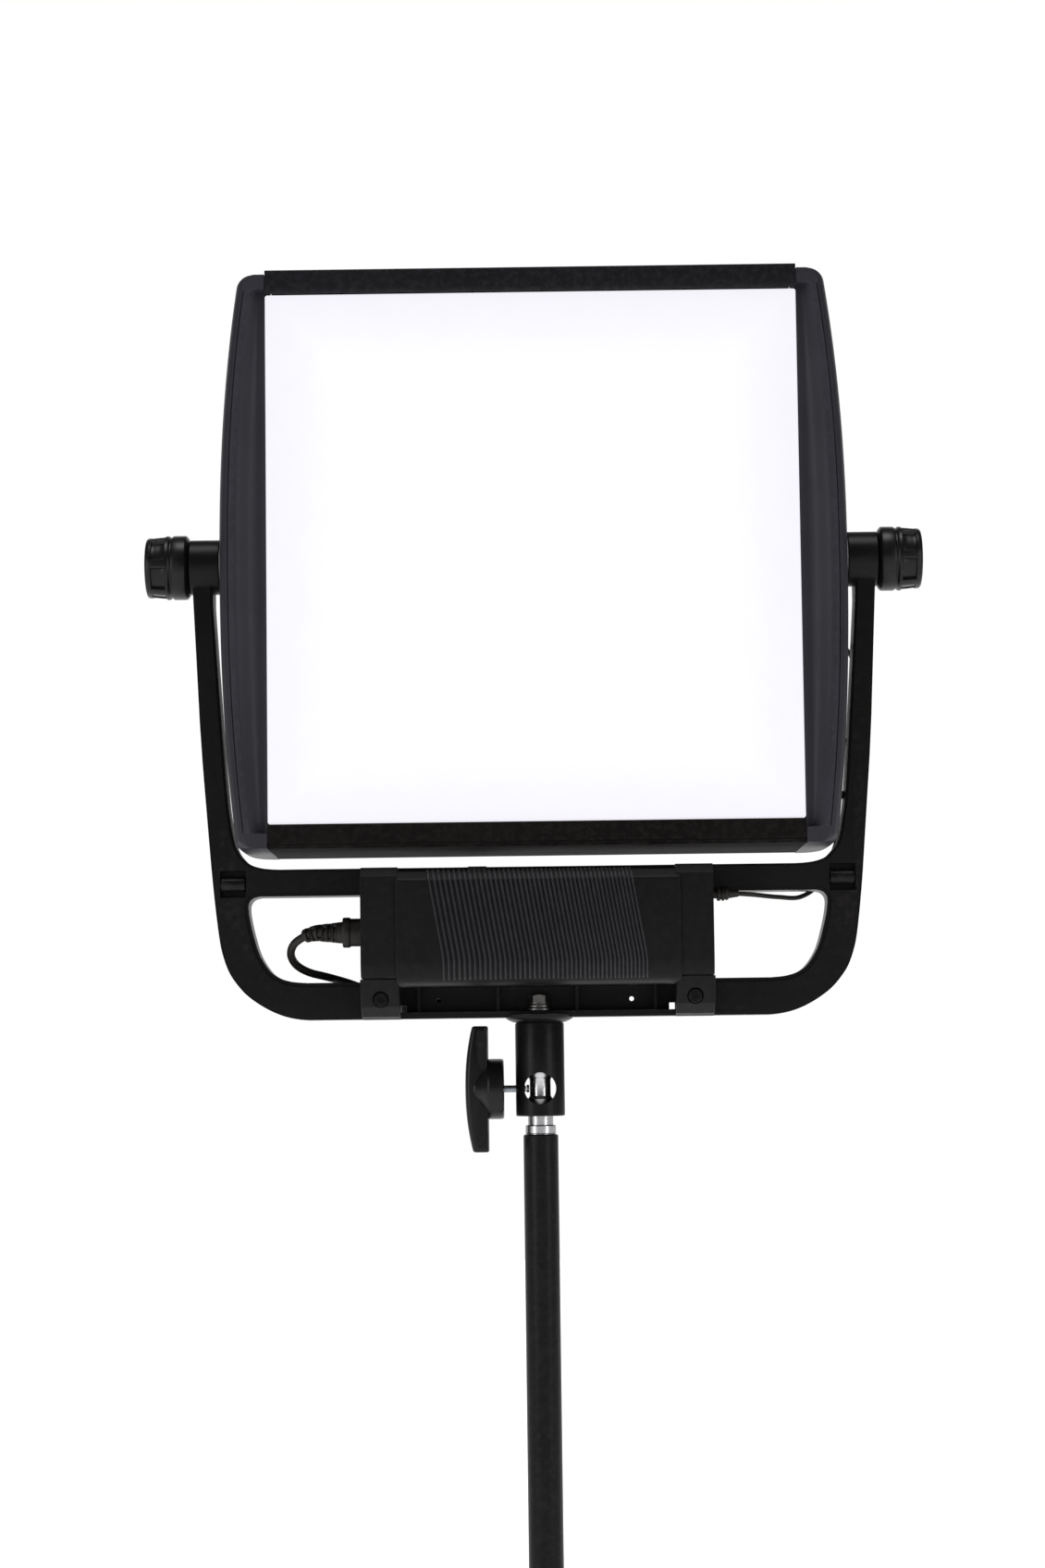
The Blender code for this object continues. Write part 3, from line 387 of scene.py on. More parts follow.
def cord_curve(name, route, diameter, mat):
    """A round cord along the route, as a curve of one open spline."""
    curve = bpy.data.curves.new(name, "CURVE")
    curve.dimensions = "3D"
    curve.bevel_depth = diameter / 2 * MM
    curve.bevel_resolution = 5
    curve.use_fill_caps = True
    spline = curve.splines.new("POLY")
    spline.points.add(len(route) - 1)
    for point, place in zip(spline.points, route):
        point.co = (place[0] * MM, place[1] * MM, place[2] * MM, 1)
    curve.materials.append(mat)
    return place_object(name, curve)


def as_mesh(obj):
    """The object's evaluated shape as a plain mesh object of the same name."""
    graph = bpy.context.evaluated_depsgraph_get()
    graph.update()
    name = obj.name
    mesh = bpy.data.meshes.new_from_object(obj.evaluated_get(graph))
    place = obj.matrix_world.copy()
    bpy.data.objects.remove(obj, do_unlink=True)
    clean(mesh, 1e-6, False)
    made = place_object(name, mesh)
    made.matrix_world = place
    return made


def make_cords():
    """The mains lead with its coil and tail, and the output lead from the supply up to the head."""
    route = smooth_route(MAINS_PATH, ROUTE_STEP) + coil_route() + smooth_route(TAIL_PATH, ROUTE_STEP)
    mains = cord_curve("mains_lead", route, MAINS_D, PVC)
    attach(mains, "yoke")
    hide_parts("mains_cord", "mains_coil", "mains_tail")
    route = smooth_route(DC_PATH, ROUTE_STEP)
    output = as_mesh(cord_curve("output_lead", route, DC_D, PVC))
    for poly in output.data.polygons:
        poly.use_smooth = True
    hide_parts("dc_cord")
    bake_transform(output)


# ---------------------------------------------------------------- piece helpers
def add_piece(name, work, mat, body, replaces=(), smooth=35):
    """Turn a bmesh in millimetres into a shown piece riding on a body."""
    bmesh.ops.scale(work, vec=(MM, MM, MM), verts=work.verts)
    mesh = bpy.data.meshes.new(name)
    work.to_mesh(mesh)
    work.free()
    mesh.materials.append(mat)
    obj = place_object(name, mesh)
    if smooth:
        mesh.shade_smooth()
        mesh.set_sharp_from_angle(angle=math.radians(smooth))
    if body:
        finish_piece(obj, body, replaces)
    return obj


def finish_piece(obj, body, replaces=()):
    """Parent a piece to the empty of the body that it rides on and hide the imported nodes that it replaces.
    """
    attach(obj, body)
    if replaces:
        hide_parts(*replaces)


def along(axis, u, v, t):
    """A point with (u, v) in the plane across the axis and t along it."""
    if axis == "X":
        return (t, u, v)
    if axis == "Y":
        return (u, t, v)
    return (u, v, t)


def prism_mesh(outline, axis, low, high):
    """An outline pushed along an axis between two places."""
    work = bmesh.new()
    face = work.faces.new([work.verts.new(along(axis, u, v, low)) for u, v in outline])
    grown = bmesh.ops.extrude_face_region(work, geom=[face])
    moved = [g for g in grown["geom"] if isinstance(g, bmesh.types.BMVert)]
    bmesh.ops.translate(work, vec=along(axis, 0, 0, high - low), verts=moved)
    bmesh.ops.recalc_face_normals(work, faces=work.faces)
    return work


def box_mesh(low, high):
    """A box between two corners."""
    work = bmesh.new()
    bmesh.ops.create_cube(work, size=1)
    bmesh.ops.scale(work, vec=[high[i] - low[i] for i in range(3)], verts=work.verts)
    bmesh.ops.translate(work, vec=[(high[i] + low[i]) / 2 for i in range(3)], verts=work.verts)
    return work


def turned_mesh(profile, axis, centre, steps=96):
    """A solid of revolution from (radius, place along the axis), both ends on the axis or a ring."""
    work = bmesh.new()
    ring_form = profile[0][0] > 0 or profile[-1][0] > 0
    rings = []
    for radius, t in profile:
        if radius <= 0:
            rings.append([work.verts.new(along(axis, centre[0], centre[1], t))])
            continue
        places = [(centre[0] + radius * math.cos(a), centre[1] + radius * math.sin(a)) for a in turns(steps)]
        rings.append([work.verts.new(along(axis, u, v, t)) for u, v in places])
    pairs = list(zip(rings, rings[1:]))
    if ring_form:
        pairs.append((rings[-1], rings[0]))
    for a, b in pairs:
        for k in range(steps):
            n = (k + 1) % steps
            if len(a) == 1 and len(b) == 1:
                continue
            if len(a) == 1:
                work.faces.new((a[0], b[k], b[n]))
            elif len(b) == 1:
                work.faces.new((a[k], b[0], a[n]))
            else:
                work.faces.new((a[k], b[k], b[n], a[n]))
    bmesh.ops.recalc_face_normals(work, faces=work.faces)
    return work


def rod_mesh(radius, axis, centre, low, high, steps=96):
    """A plain round rod between two places along an axis."""
    return turned_mesh([(0, low), (radius, low), (radius, high), (0, high)], axis, centre, steps)


def merge(work, part):
    """Add one bmesh to another and free it."""
    mesh = bpy.data.meshes.new("part")
    part.to_mesh(mesh)
    part.free()
    work.from_mesh(mesh)
    bpy.data.meshes.remove(mesh)


def skin(rings):
    """A skin over rings of points with equal counts, capped at both ends."""
    work = bmesh.new()
    made = [[work.verts.new(p) for p in ring] for ring in rings]
    count = len(rings[0])
    for a, b in zip(made, made[1:]):
        for k in range(count):
            n = (k + 1) % count
            work.faces.new((a[k], a[n], b[n], b[k]))
    work.faces.new(made[0])
    work.faces.new(list(reversed(made[-1])))
    bmesh.ops.recalc_face_normals(work, faces=work.faces)
    return work


def arc(cx, cy, radius, start, end, count):
    """Points along an arc, with its angles in degrees."""
    points = []
    for k in range(count + 1):
        angle = math.radians(start + (end - start) * k / count)
        points.append((cx + radius * math.cos(angle), cy + radius * math.sin(angle)))
    return points


def fine_line(points, parts=4):
    """A denser open line of flat points that passes smoothly through the given ones."""
    knots = with_ends(points)
    line = [tuple(knots[1])]
    for i in range(1, len(knots) - 2):
        line += [tuple(between(*knots[i - 1:i + 3], k / parts)) for k in range(1, parts + 1)]
    return line


def inset(outline, distance):
    """A closed outline moved inward by the distance, or outward when it is negative."""
    moved = []
    count = len(outline)
    for i in range(count):
        a = Vector(outline[i - 1])
        b = Vector(outline[i])
        c = Vector(outline[(i + 1) % count])
        n1 = Vector((a.y - b.y, b.x - a.x)).normalized()
        n2 = Vector((b.y - c.y, c.x - b.x)).normalized()
        mean = n1 + n2
        moved.append(tuple(b + mean * distance / max(mean.length_squared / 2, 0.6)))
    return moved


def mirror_x(points):
    """The same points on the other side, in the order that carries an outline on."""
    return [(-x, y) for x, y in reversed(points)]


def solid(name, work, mat=None):
    """An unattached object in metres, used as the base of a piece or as a cutter."""
    return add_piece(name, work, mat or CAST, None)


def combine(obj, cutters, work, operation="DIFFERENCE"):
    """Cut a bmesh out of the object, or join it on, and list its own object among the cutters."""
    other = solid("cutter", work)
    mod = obj.modifiers.new(operation.lower(), "BOOLEAN")
    mod.object = other
    mod.operation = operation
    mod.solver = "EXACT"
    cutters.append(other)


def clean(mesh, gap=2e-5, flatten=True):
    """Join vertices closer than the gap and, if asked, dissolve the edges between level faces."""
    work = bmesh.new()
    work.from_mesh(mesh)
    bmesh.ops.remove_doubles(work, verts=work.verts, dist=gap)
    if flatten:
        bmesh.ops.dissolve_limit(work, angle_limit=math.radians(0.6), verts=work.verts, edges=work.edges)
    work.to_mesh(mesh)
    work.free()


def settle(obj, cutters, width, segments=2, angle=32, smooth=35):
    """Apply the booleans, drop the cutters, clean the mesh and round its edges."""
    made = as_mesh(obj)
    for cutter in cutters:
        bpy.data.objects.remove(cutter, do_unlink=True)
    clean(made.data)
    round_edges(made, width, segments, angle, smooth)
    return made


def round_edges(obj, width, segments=2, angle=32, smooth=35):
    """Bevel the edges sharper than the angle and shade the rest smooth."""
    if width:
        mod = obj.modifiers.new("bevel", "BEVEL")
        mod.width = width * MM
        mod.segments = segments
        mod.limit_method = "ANGLE"
        mod.angle_limit = math.radians(angle)
        mod.harden_normals = True
        mod.use_clamp_overlap = True
    obj.data.shade_smooth()
    obj.data.set_sharp_from_angle(angle=math.radians(smooth))


def soften(node, body, width=0.5, segments=2, shift=0, drop=0):
    """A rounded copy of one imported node, moved sideways by the shift, its top lowered by the drop."""
    source = NODES[node]
    mesh = source.data.copy()
    mesh.transform(Matrix.Translation((shift * MM, 0, 0)) @ source.matrix_world)
    top = max(v.co.z for v in mesh.vertices)
    for v in mesh.vertices:
        if v.co.z > top - 0.009:
            v.co.z -= drop * MM
    obj = place_object(node + "_shown", mesh)
    clean(mesh)
    mesh.materials.clear()
    mesh.materials.append(NODE_MATERIALS[node])
    round_edges(obj, width, segments)
    finish_piece(obj, body, (node,))
    return obj


# ---------------------------------------------------------------- stand and clamp
TILT_Z = 663.1
CLAMP_Z = 328.3


def make_stand():
    """The riser tube and the stepped spigot in its top."""
    rim = [(11, 298.7), (10.2, 299.5), (9.5, 299.5), (9.5, 0.2), (10.6, 0), (11, 0.4)]
    add_piece("riser_shown", turned_mesh(rim, "Z", (0, 0)), TUBE, "stand", ("riser_tube",), 40)
    spigot = [
        (0, 262), (8.1, 262), (9.1, 263), (9.1, 299.8), (9.3, 299.8), (9.7, 300.3), (9.7, 304.7),
        (9.2, 305.4), (8, 305.4), (8, 321.6), (7.6, 322.3), (6.7, 323.6), (6.6, 324.2),
        (6.6, 333.8), (6.8, 334.5), (7.7, 335.7), (8, 336.5), (8, 342.4), (7.6, 343.4),
        (6.6, 344), (0, 344),
    ]
    add_piece("spigot_shown", turned_mesh(spigot, "Z", (0, 0)), CHROME, "stand", ("stud",), 25)


def make_receiver():
    """The socket over the spigot with its cross bore and clamp hole, and the bolt on top of it."""
    profile = [
        (8.3, 311.6), (8.7, 311), (14.8, 311), (15.45, 311.7), (15.45, 368.8), (14.9, 369.7),
        (4.3, 369.7), (4.3, 354), (8.3, 354),
    ]
    base = solid("receiver_shown", turned_mesh(profile, "Z", (0, 0)))
    cutters = []
    combine(base, cutters, rod_mesh(10, "Y", (0, CLAMP_Z), -20, 20))
    combine(base, cutters, rod_mesh(2.8, "X", (0, CLAMP_Z), -20, -4, 48))
    made = settle(base, cutters, 0.5)
    finish_piece(made, "yoke", ("receiver",))
    make_receiver_bolt()


def make_receiver_bolt():
    """Shank, hexagon head with a turned chamfer, and two washers."""
    bolt = [
        (0, 355), (3.6, 355), (4, 355.5), (4, 381.2), (6.9, 381.2), (7.3, 381.6),
        (7.3, 382), (0, 382),
    ]
    work = turned_mesh(bolt, "Z", (0, 0))
    add_piece("bolt_shank", work, DARK_STEEL, "yoke", ("receiver_bolt",), 30)
    head = solid("bolt_head", prism_mesh(arc(0, 0, 7.5, 0, 300, 5), "Z", 382, 387.4))
    cone = [(0, 381), (9, 381), (9, 385.4), (5.6, 388), (0, 388)]
    cutters = []
    combine(head, cutters, turned_mesh(cone, "Z", (0, 0)), "INTERSECT")
    made = settle(head, cutters, 0.25)
    made.data.materials[0] = DARK_STEEL
    finish_piece(made, "yoke", ())
    for node, low, radius in (("bolt_washer_lower", 377.3, 8.4), ("bolt_washer_upper", 379.2, 7.6)):
        ring = [
            (radius - 0.3, low), (radius, low + 0.3), (radius, low + 1.3), (radius - 0.3, low + 1.6),
            (4.3, low + 1.6), (4.3, low),
        ]
        add_piece(node + "_shown", turned_mesh(ring, "Z", (0, 0)), DARK_STEEL, "yoke", (node,), 30)


def make_clamp_screw():
    """Threaded screw: a helical ridge of 1 mm pitch on a round core."""
    core = 2.05
    crest = 2.5
    pitch = 1.0
    steps = 40
    shape = [(core, 0), (core, 0.22), (crest, 0.42), (crest, 0.58), (core, 0.78)]
    rows = []
    turns = 18
    for k in range(steps * turns + 1):
        angle = 2 * math.pi * k / steps
        x = -29.4 + pitch * k / steps
        rows.append([(x + t * pitch, r * math.cos(angle), CLAMP_Z + r * math.sin(angle)) for r, t in shape])
    work = bmesh.new()
    made = [[work.verts.new(p) for p in row] for row in rows]
    for a, b in zip(made, made[1:]):
        for k in range(len(shape) - 1):
            work.faces.new((a[k], a[k + 1], b[k + 1], b[k]))
    bmesh.ops.recalc_face_normals(work, faces=work.faces)
    add_piece("screw_thread", work, ZINC, "clamp_handle", ("clamp_screw",), 30)
    ends = [(0, -30), (2.1, -30), (2.1, -9.6), (1.6, -9), (0, -9)]
    add_piece("screw_core", turned_mesh(ends, "X", (0, CLAMP_Z), 48), ZINC, "clamp_handle", (), 30)


HANDLE_HALF = 39.6
HANDLE_ROUND = 1.3


def handle_ring(z):
    """The bar's rounded section at a height above the clamp screw."""
    t = abs(z) / HANDLE_HALF
    back = -47.3 + 4.6 * t ** 2.2
    front = -32.5
    wide = 9.6 - 1.6 * t ** 2
    end = max(0, (abs(z) - HANDLE_HALF + HANDLE_ROUND) / HANDLE_ROUND)
    pull = 1.0 - math.sqrt(max(0, 1.0 - min(end, 0.999) ** 2))
    back += 1.2 * pull
    front -= 1.0 * pull
    wide -= 1.2 * pull
    mid_x = (back + front) / 2
    half_x = (front - back) / 2
    ring = []
    for angle in turns(48):
        c = math.cos(angle)
        s = math.sin(angle)
        px = math.copysign(abs(c) ** 0.42, c) * half_x
        py = math.copysign(abs(s) ** 0.42, s) * wide
        ring.append((mid_x + px, py, CLAMP_Z + z))
    return ring


def make_handle():
    """T-handle: a bowed bar with rounded edges, raised finger pads and a turned hub."""
    cuts = [HANDLE_HALF - u for u in (0, 0.1, 0.3, 0.6, 0.95, HANDLE_ROUND)]
    levels = [-u for u in cuts] + [-38 + 2 * k for k in range(39)] + cuts[::-1]
    base = solid("handle_shown", skin([handle_ring(z) for z in levels]), NYLON)
    hub = [
        (0, -45), (7, -45), (9, -42.6), (11, -40), (13.4, -37.6), (16, -35.4),
        (18, -33.6), (18.8, -32.6), (19, -31.4), (19, -24.6), (18.6, -23.4), (17.6, -22.9),
        (9.4, -22.9), (9, -23.3), (8.6, -24.3), (2.8, -24.3), (2.8, -30.3), (0, -30.3),
    ]
    cutters = []
    combine(base, cutters, turned_mesh(hub, "X", (0, CLAMP_Z)), "UNION")
    pad = [(-33.1, 9.2), (-33.1, 36.8), (-38.4, 36.8), (-39.3, 36.3), (-39.7, 35.2)]
    pad += fine_line([
        (-39.7, 30), (-39.7, 24), (-39.2, 18.6), (-37.6, 14), (-35.6, 11), (-33.9, 9.4),
    ], 3)
    for side in (-1, 1):
        outline = [(x, CLAMP_Z + side * z) for x, z in pad]
        combine(base, cutters, prism_mesh(outline, "Y", -11.3, 2), "UNION")
    made = settle(base, cutters, 0.7, 3, 40, 38)
    finish_piece(made, "clamp_handle", ("clamp_handle",))


# ---------------------------------------------------------------- yoke
YOKE_FRONT = -9.0
CHANNEL_BOLTS = ((-98.4, "left"), (97.1, "right"))
BOLT_Z = 384.6


def yoke_outline():
    """The arms and the deep cross bar as one closed line, seen from the front."""
    outer = fine_line([
        (146, 373), (152.6, 373.7), (159, 375), (165.2, 377.2), (171.6, 380.3), (178.2, 384.4),
        (184.6, 389.4), (190.3, 395.8), (195.4, 403.6), (199.3, 414.4), (201.5, 425.3), (204, 445.5),
        (206.3, 469.1), (209, 502.3), (212.6, 549.4), (215.3, 600), (217.8, 652.6),
    ])
    inner = fine_line([
        (204.6, 637.6), (201.7, 593.5), (198.6, 549.4), (195.8, 513), (193.8, 497.6), (191.9, 487.2),
        (189.6, 480.2), (185.6, 474.9), (181.2, 471.4), (175.4, 469.4), (169, 468.5), (163, 468.2),
    ])
    right = [(0, 373)] + outer + [(204.6, 652.6)] + inner
    return right + [(0, 468.2)] + mirror_x(right[1:])


def yoke_window():
    """The opening through the cross bar."""
    edge = fine_line([
        (175.6, 451.2), (179.6, 450.2), (182.2, 447.6), (182.9, 443.6), (181.9, 436), (179.6, 426),
        (176.6, 416), (173, 409), (168.6, 403.2), (163.4, 399.6), (155.6, 397.2), (146, 396.3),
    ])
    edge = [(0, 451.2)] + edge + [(0, 396.3)]
    return edge + mirror_x(edge[1:-1])


def add_tilt_boss(base, cutters, side):
    """The round boss, its bore and the notch at the foot of one arm."""
    boss = [(0, 200.2), (16.9, 200.2), (17.5, 200.8), (17.5, 219), (16.8, 219.8), (0, 219.8)]
    boss = [(r, side * x) for r, x in boss]
    combine(base, cutters, turned_mesh(boss, "X", (0, TILT_Z)), "UNION")
    combine(base, cutters, rod_mesh(6.3, "X", (0, TILT_Z), side * 198, side * 222, 64))
    low, high = sorted((side * 184.3, side * 200.8))
    combine(base, cutters, box_mesh((low, -20, 450.6), (high, -2.2, 467.6)))


def cut_channel(base, cutters):
    """The ribbed channel along the foot of the cross bar, with its holes."""
    for low, high in ((-95, -77), (-75, -27), (-25, 23), (25, 72.5), (74.5, 95)):
        combine(base, cutters, box_mesh((low, -20, 377), (high, 8.6, 392.6)))
    combine(base, cutters, box_mesh((-95, -20, 377), (95, -3.4, 392.6)))
    for low, high in ((-90.6, -84.2), (82.6, 86.2)):
        combine(base, cutters, box_mesh((low, -20, 377.2), (high, 20, 381.6)))
    for x in (-64, 58.8):
        combine(base, cutters, rod_mesh(1.5, "Y", (x, 384.4), 0, 20, 32))


def make_yoke():
    """The cast yoke with its raised rim, bosses and channel, and the pins in its arms."""
    outline = yoke_outline()
    base = solid("yoke_shown", prism_mesh(outline, "Y", YOKE_FRONT, 12))
    cutters = []
    combine(base, cutters, prism_mesh(inset(outline, 1.5), "Y", YOKE_FRONT - 1.6, -7), "UNION")
    window = yoke_window()
    combine(base, cutters, prism_mesh(window, "Y", -40, 40))
    combine(base, cutters, prism_mesh(inset(list(reversed(window)), -2.6), "Y", -40, YOKE_FRONT))
    for side in (-1, 1):
        add_tilt_boss(base, cutters, side)
    flare = [
        (0, 369.9), (15.6, 369.9), (16.8, 370.2), (19.4, 371.3), (21, 372.4), (21.6, 373.4),
        (21.6, 375), (0, 375),
    ]
    combine(base, cutters, turned_mesh(flare, "Z", (0, 0)), "UNION")
    cut_channel(base, cutters)
    combine(base, cutters, rod_mesh(4.3, "Z", (0, 0), 365, 380, 64))
    for x, _ in CHANNEL_BOLTS:
        combine(base, cutters, rod_mesh(2.8, "Y", (x, BOLT_Z), -20, 20, 48))
    made = settle(base, cutters, 0.6, 3)
    finish_piece(made, "yoke", ("yoke",))
    for side, word in SIDES:
        ends = [(0, 184.7), (4, 184.7), (4.6, 185.3), (4.6, 199.8), (4, 200.4), (0, 200.4)]
        pin = turned_mesh([(r, side * x) for r, x in ends], "X", (-7.1, 459.1), 64)
        add_piece("pin_shown_" + word, pin, CAST, "yoke", ("arm_pin_" + word,), 35)
    for node in ("cord_clip_lower", "cord_clip_upper"):
        soften(node, "yoke", 0.4)


# ---------------------------------------------------------------- power supply
def make_supply():
    """The supply's housing, brackets, clamps and plate, then its ribs and bolts."""
    soften("psu_housing", "yoke", 1.1, 3, 0, 4.4)
    for word, shift in (("left", 1.9), ("right", -3.2)):
        soften("psu_bracket_" + word, "yoke", 0.9, 3, shift, 2.3)
        soften("bar_clamp_" + word, "yoke", 0.8, 3, shift)
    soften("psu_back_plate", "yoke", 0.3)
    make_ribs()
    make_bolts()


RIB_COUNT = 45
RIB_RISE = 0.75


def rib_rows(path):
    """Five-point sections of one rib along its path, with both ends sunk into the housing."""
    side = Vector((1, 0, 0))
    rows = []
    for i, point in enumerate(path):
        before = Vector(path[max(i - 1, 0)])
        after = Vector(path[min(i + 1, len(path) - 1)])
        out = (after - before).normalized().cross(side).normalized()
        if out.y > 0.2 or out.z < -0.9 and point[2] > 456:
            out = -out
        place = Vector(point)
        rise = RIB_RISE if 0 < i < len(path) - 1 else -0.1
        rows.append([
            place - side * 0.62 - out * 0.15, place - side * 0.42 + out * rise * 0.85,
            place + out * rise, place + side * 0.42 + out * rise * 0.85,
            place + side * 0.62 - out * 0.15,
        ])
    return rows


def make_ribs():
    """Slanted ribs down the front of the supply that run over its top edge and round its foot."""
    work = bmesh.new()
    foot = arc(-42, 407.5, 15, 180, 232, 8)
    for k in range(RIB_COUNT):
        share = k / (RIB_COUNT - 1)
        top_x = -68.3 + 125.7 * (share * 1.16 - 0.16 * share * share)
        path = [(top_x - 0.6, -43, 463.6), (top_x, -50, 463.6)]
        path += [(top_x + 1, -57, 457.6), (top_x + 9, -57, 412), (top_x + 9.6, -57, 407.5)]
        path += [(top_x + 9.6, y, z) for y, z in foot[1:]]
        merge(work, skin(rib_rows(path)))
    # The ribs use the lighter rib material, a painted highlight along their crests.
    add_piece("supply_ribs", work, PAINTED_RIB_HIGHLIGHT, "yoke", (), 50)


def make_bolts():
    """Socket cap screws through the bar clamps."""
    head = [
        (0, -39.2), (1.6, -39.2), (1.6, -39.8), (1.8, -40), (4.1, -40), (4.5, -39.6),
        (4.5, -30.3), (2.5, -30.3), (2.5, 10.2), (2.2, 10.4), (0, 10.4),
    ]
    for x, word in CHANNEL_BOLTS:
        work = turned_mesh(head, "Y", (x, BOLT_Z), 48)
        add_piece("bolt_" + word, work, SUPPLY, "yoke", ("clamp_bolt_" + word,), 30)


RELIEF_END_X = -147.0
RELIEF_START_R = 6.9
RELIEF_END_R = 4.3
SLOT_HALF = 1.2
SLOT_DEEP = 1.5


def relief_route():
    """The strain relief's middle line in half-millimetre steps."""
    route = [Vector((x, -26, 427)) for x in (-122, -124, -126, -128, -130, -132, -134)]
    for point in smooth_route(MAINS_PATH, 1):
        if point.x < RELIEF_END_X:
            break
        route.append(point)
    fine = []
    for a, b in zip(route, route[1:]):
        parts = max(1, round((b - a).length / 0.5))
        fine += [a.lerp(b, k / parts) for k in range(parts)]
    fine.append(route[-1])
    return fine


def slot_depth(share, total, angle):
    """How deep the two rows of slots cut at a share of the way and an angle round the relief."""
    deep = 0.0
    for row in (0, 1):
        turn = math.cos(angle - math.radians(65 if row else -65) + math.pi / 2)
        for slot in range(3):
            centre = (slot + 0.5 + 0.5 * row) / 3.9 + 0.08
            near = abs(share - centre) * total
            if near < SLOT_HALF and abs(turn) > 0.25:
                deep = max(deep, SLOT_DEEP * min(1, (SLOT_HALF - near) / 0.4))
    return deep


def relief_rings():
    """Rings of the tapering relief, square to its middle line."""
    line = relief_route()
    total = sum((b - a).length for a, b in zip(line, line[1:]))
    run = 0.0
    rings = []
    for i, point in enumerate(line):
        if i:
            run += (point - line[i - 1]).length
        ahead = (line[min(i + 1, len(line) - 1)] - line[max(i - 1, 0)]).normalized()
        side = ahead.cross(Vector((0, 0, 1))).normalized()
        up = side.cross(ahead).normalized()
        share = run / total
        radius = RELIEF_START_R + (RELIEF_END_R - RELIEF_START_R) * share
        if share > 0.97:
            radius -= 0.8 * (share - 0.97) / 0.03
        ring = []
        for angle in turns(64):
            r = radius - slot_depth(share, total, angle)
            ring.append(point + side * (r * math.cos(angle)) + up * (r * math.sin(angle)))
        rings.append(ring)
    return rings


def make_relief():
    """Moulded connector with a ribbed collar and a curved, slotted strain relief."""
    body = [
        (0, -103.9), (8.3, -103.9), (8.75, -104.4), (8.75, -106.6), (8.3, -107), (8.3, -108),
        (8.75, -108.4), (8.75, -117.4), (9.3, -117.8), (9.5, -118.4), (9.5, -121.6), (9.1, -122.3),
        (7, -122.6), (0, -122.6),
    ]
    work = turned_mesh(body, "X", (-26, 427), 72)
    add_piece("connector_shown", work, PVC, "yoke", ("mains_connector",), 30)
    add_piece("relief_shown", skin(relief_rings()), PVC, "yoke", (), 32)
    make_gland()
    soften("mains_plug", "yoke", 1.6, 3)
    soften("cord_tie", "yoke", 0.4, 2, 0, 2.4)


def make_gland():
    """The ribbed gland where the output lead leaves the supply."""
    gland = [
        (0, 106), (3, 106), (3, 112.2), (4.3, 112.3), (4.5, 112.6), (4.5, 114.2), (4.3, 114.4),
        (3.7, 114.5), (3.7, 115.2), (4.3, 115.3), (4.5, 115.5), (4.5, 116.7), (4.3, 116.9),
        (3.7, 117), (3.7, 117.7), (4.2, 117.8), (3.9, 119.2), (2.6, 120), (0, 120),
    ]
    work = turned_mesh(gland, "X", (-24, 448.5), 48)
    add_piece("gland_shown", work, PVC, "yoke", ("dc_gland",), 30)
    taper = [(0, 119.8), (3, 119.8), (2.6, 122), (2.1, 125.4), (1.9, 126), (0, 126)]
    add_piece("gland_tail", turned_mesh(taper, "X", (-23.7, 448.5), 40), PVC, "yoke", (), 30)


# ---------------------------------------------------------------- panel head
HEAD_MID = 661.4
HEAD_HALF = 182.7
HEAD_LOW = HEAD_MID - HEAD_HALF
HEAD_TOP = HEAD_MID + HEAD_HALF
SHELL_TOP = HEAD_TOP - 2.6
RAIL_HALF = 167.4
FRONT = -50.0
BACK = 52.5
EDGE = 167.7
SCOOP_END = 10.5
SCOOP_FADE = 1.3
CORNER = 5.5


def head_half_width(z):
    """Half the head's width at a height: bowed sides with rounded corners."""
    rise = abs(z - HEAD_MID) / HEAD_HALF
    width = 198.5 - (12.8 if z > HEAD_MID else 10.2) * rise ** 2.25
    near = min(SHELL_TOP - z, z - HEAD_LOW)
    if near < CORNER:
        depth = min(CORNER - near, CORNER)
        width -= CORNER - math.sqrt(CORNER * CORNER - depth * depth)
    return width


def shell_ring(z, side, scoop, thin):
    """One level of a side shell: scooped front flank, raised bead, then the bowed cheek."""
    w = head_half_width(z)
    crest = max(w - 11.4, EDGE + 2)
    run = crest - EDGE
    dip = 8.0 * scoop
    outer = fine_line([
        (EDGE, FRONT + dip), (EDGE + run * 0.2, FRONT + dip * 1.04), (EDGE + run * 0.5, FRONT + dip * 0.86),
        (EDGE + run * 0.8, FRONT + dip * 0.34), (crest - 0.4, FRONT + 0.5 * scoop),
    ], 3)
    outer += [
        (crest + 0.2, FRONT - 0.2 * scoop), (crest + 2.2, FRONT - 0.3 * scoop), (crest + 4, FRONT + 0.1),
        (crest + 4.4, FRONT + 0.9 * scoop + 0.1), (crest + 4.8, FRONT + 0.3),
    ]
    outer += fine_line([
        (w - 6.2, FRONT + 0.6), (w - 3.6, FRONT + 3.2), (w - 1.6, FRONT + 9), (w - 0.4, FRONT + 17),
        (w, FRONT + 28), (w, 12), (w - 0.6, 30), (w - 2.4, 42), (w - 6, 49.4),
        (max(w - 11, EDGE + 1.5), BACK),
    ], 3)
    outer += [(EDGE + 0.4, BACK), (EDGE, BACK - 0.5)]
    inner = [(EDGE, BACK - 3)]
    if thin:
        inner += [(w - 12, BACK - 3), (w - 8.4, 47), (w - 5.4, 41), (w - 3.6, 29), (w - 3, 11)]
        inner += [(w - 3, FRONT + 28), (w - 4.6, FRONT + 12), (w - 9.6, FRONT + 6)]
    else:
        inner += [(EDGE, y) for y in (40, 28, 16, 4, -8, -18, -26, -34)]
    inner += [(EDGE, FRONT + dip + 3), (EDGE, FRONT + dip + 0.6)]
    return [(side * x, y, z) for x, y in outer + inner]


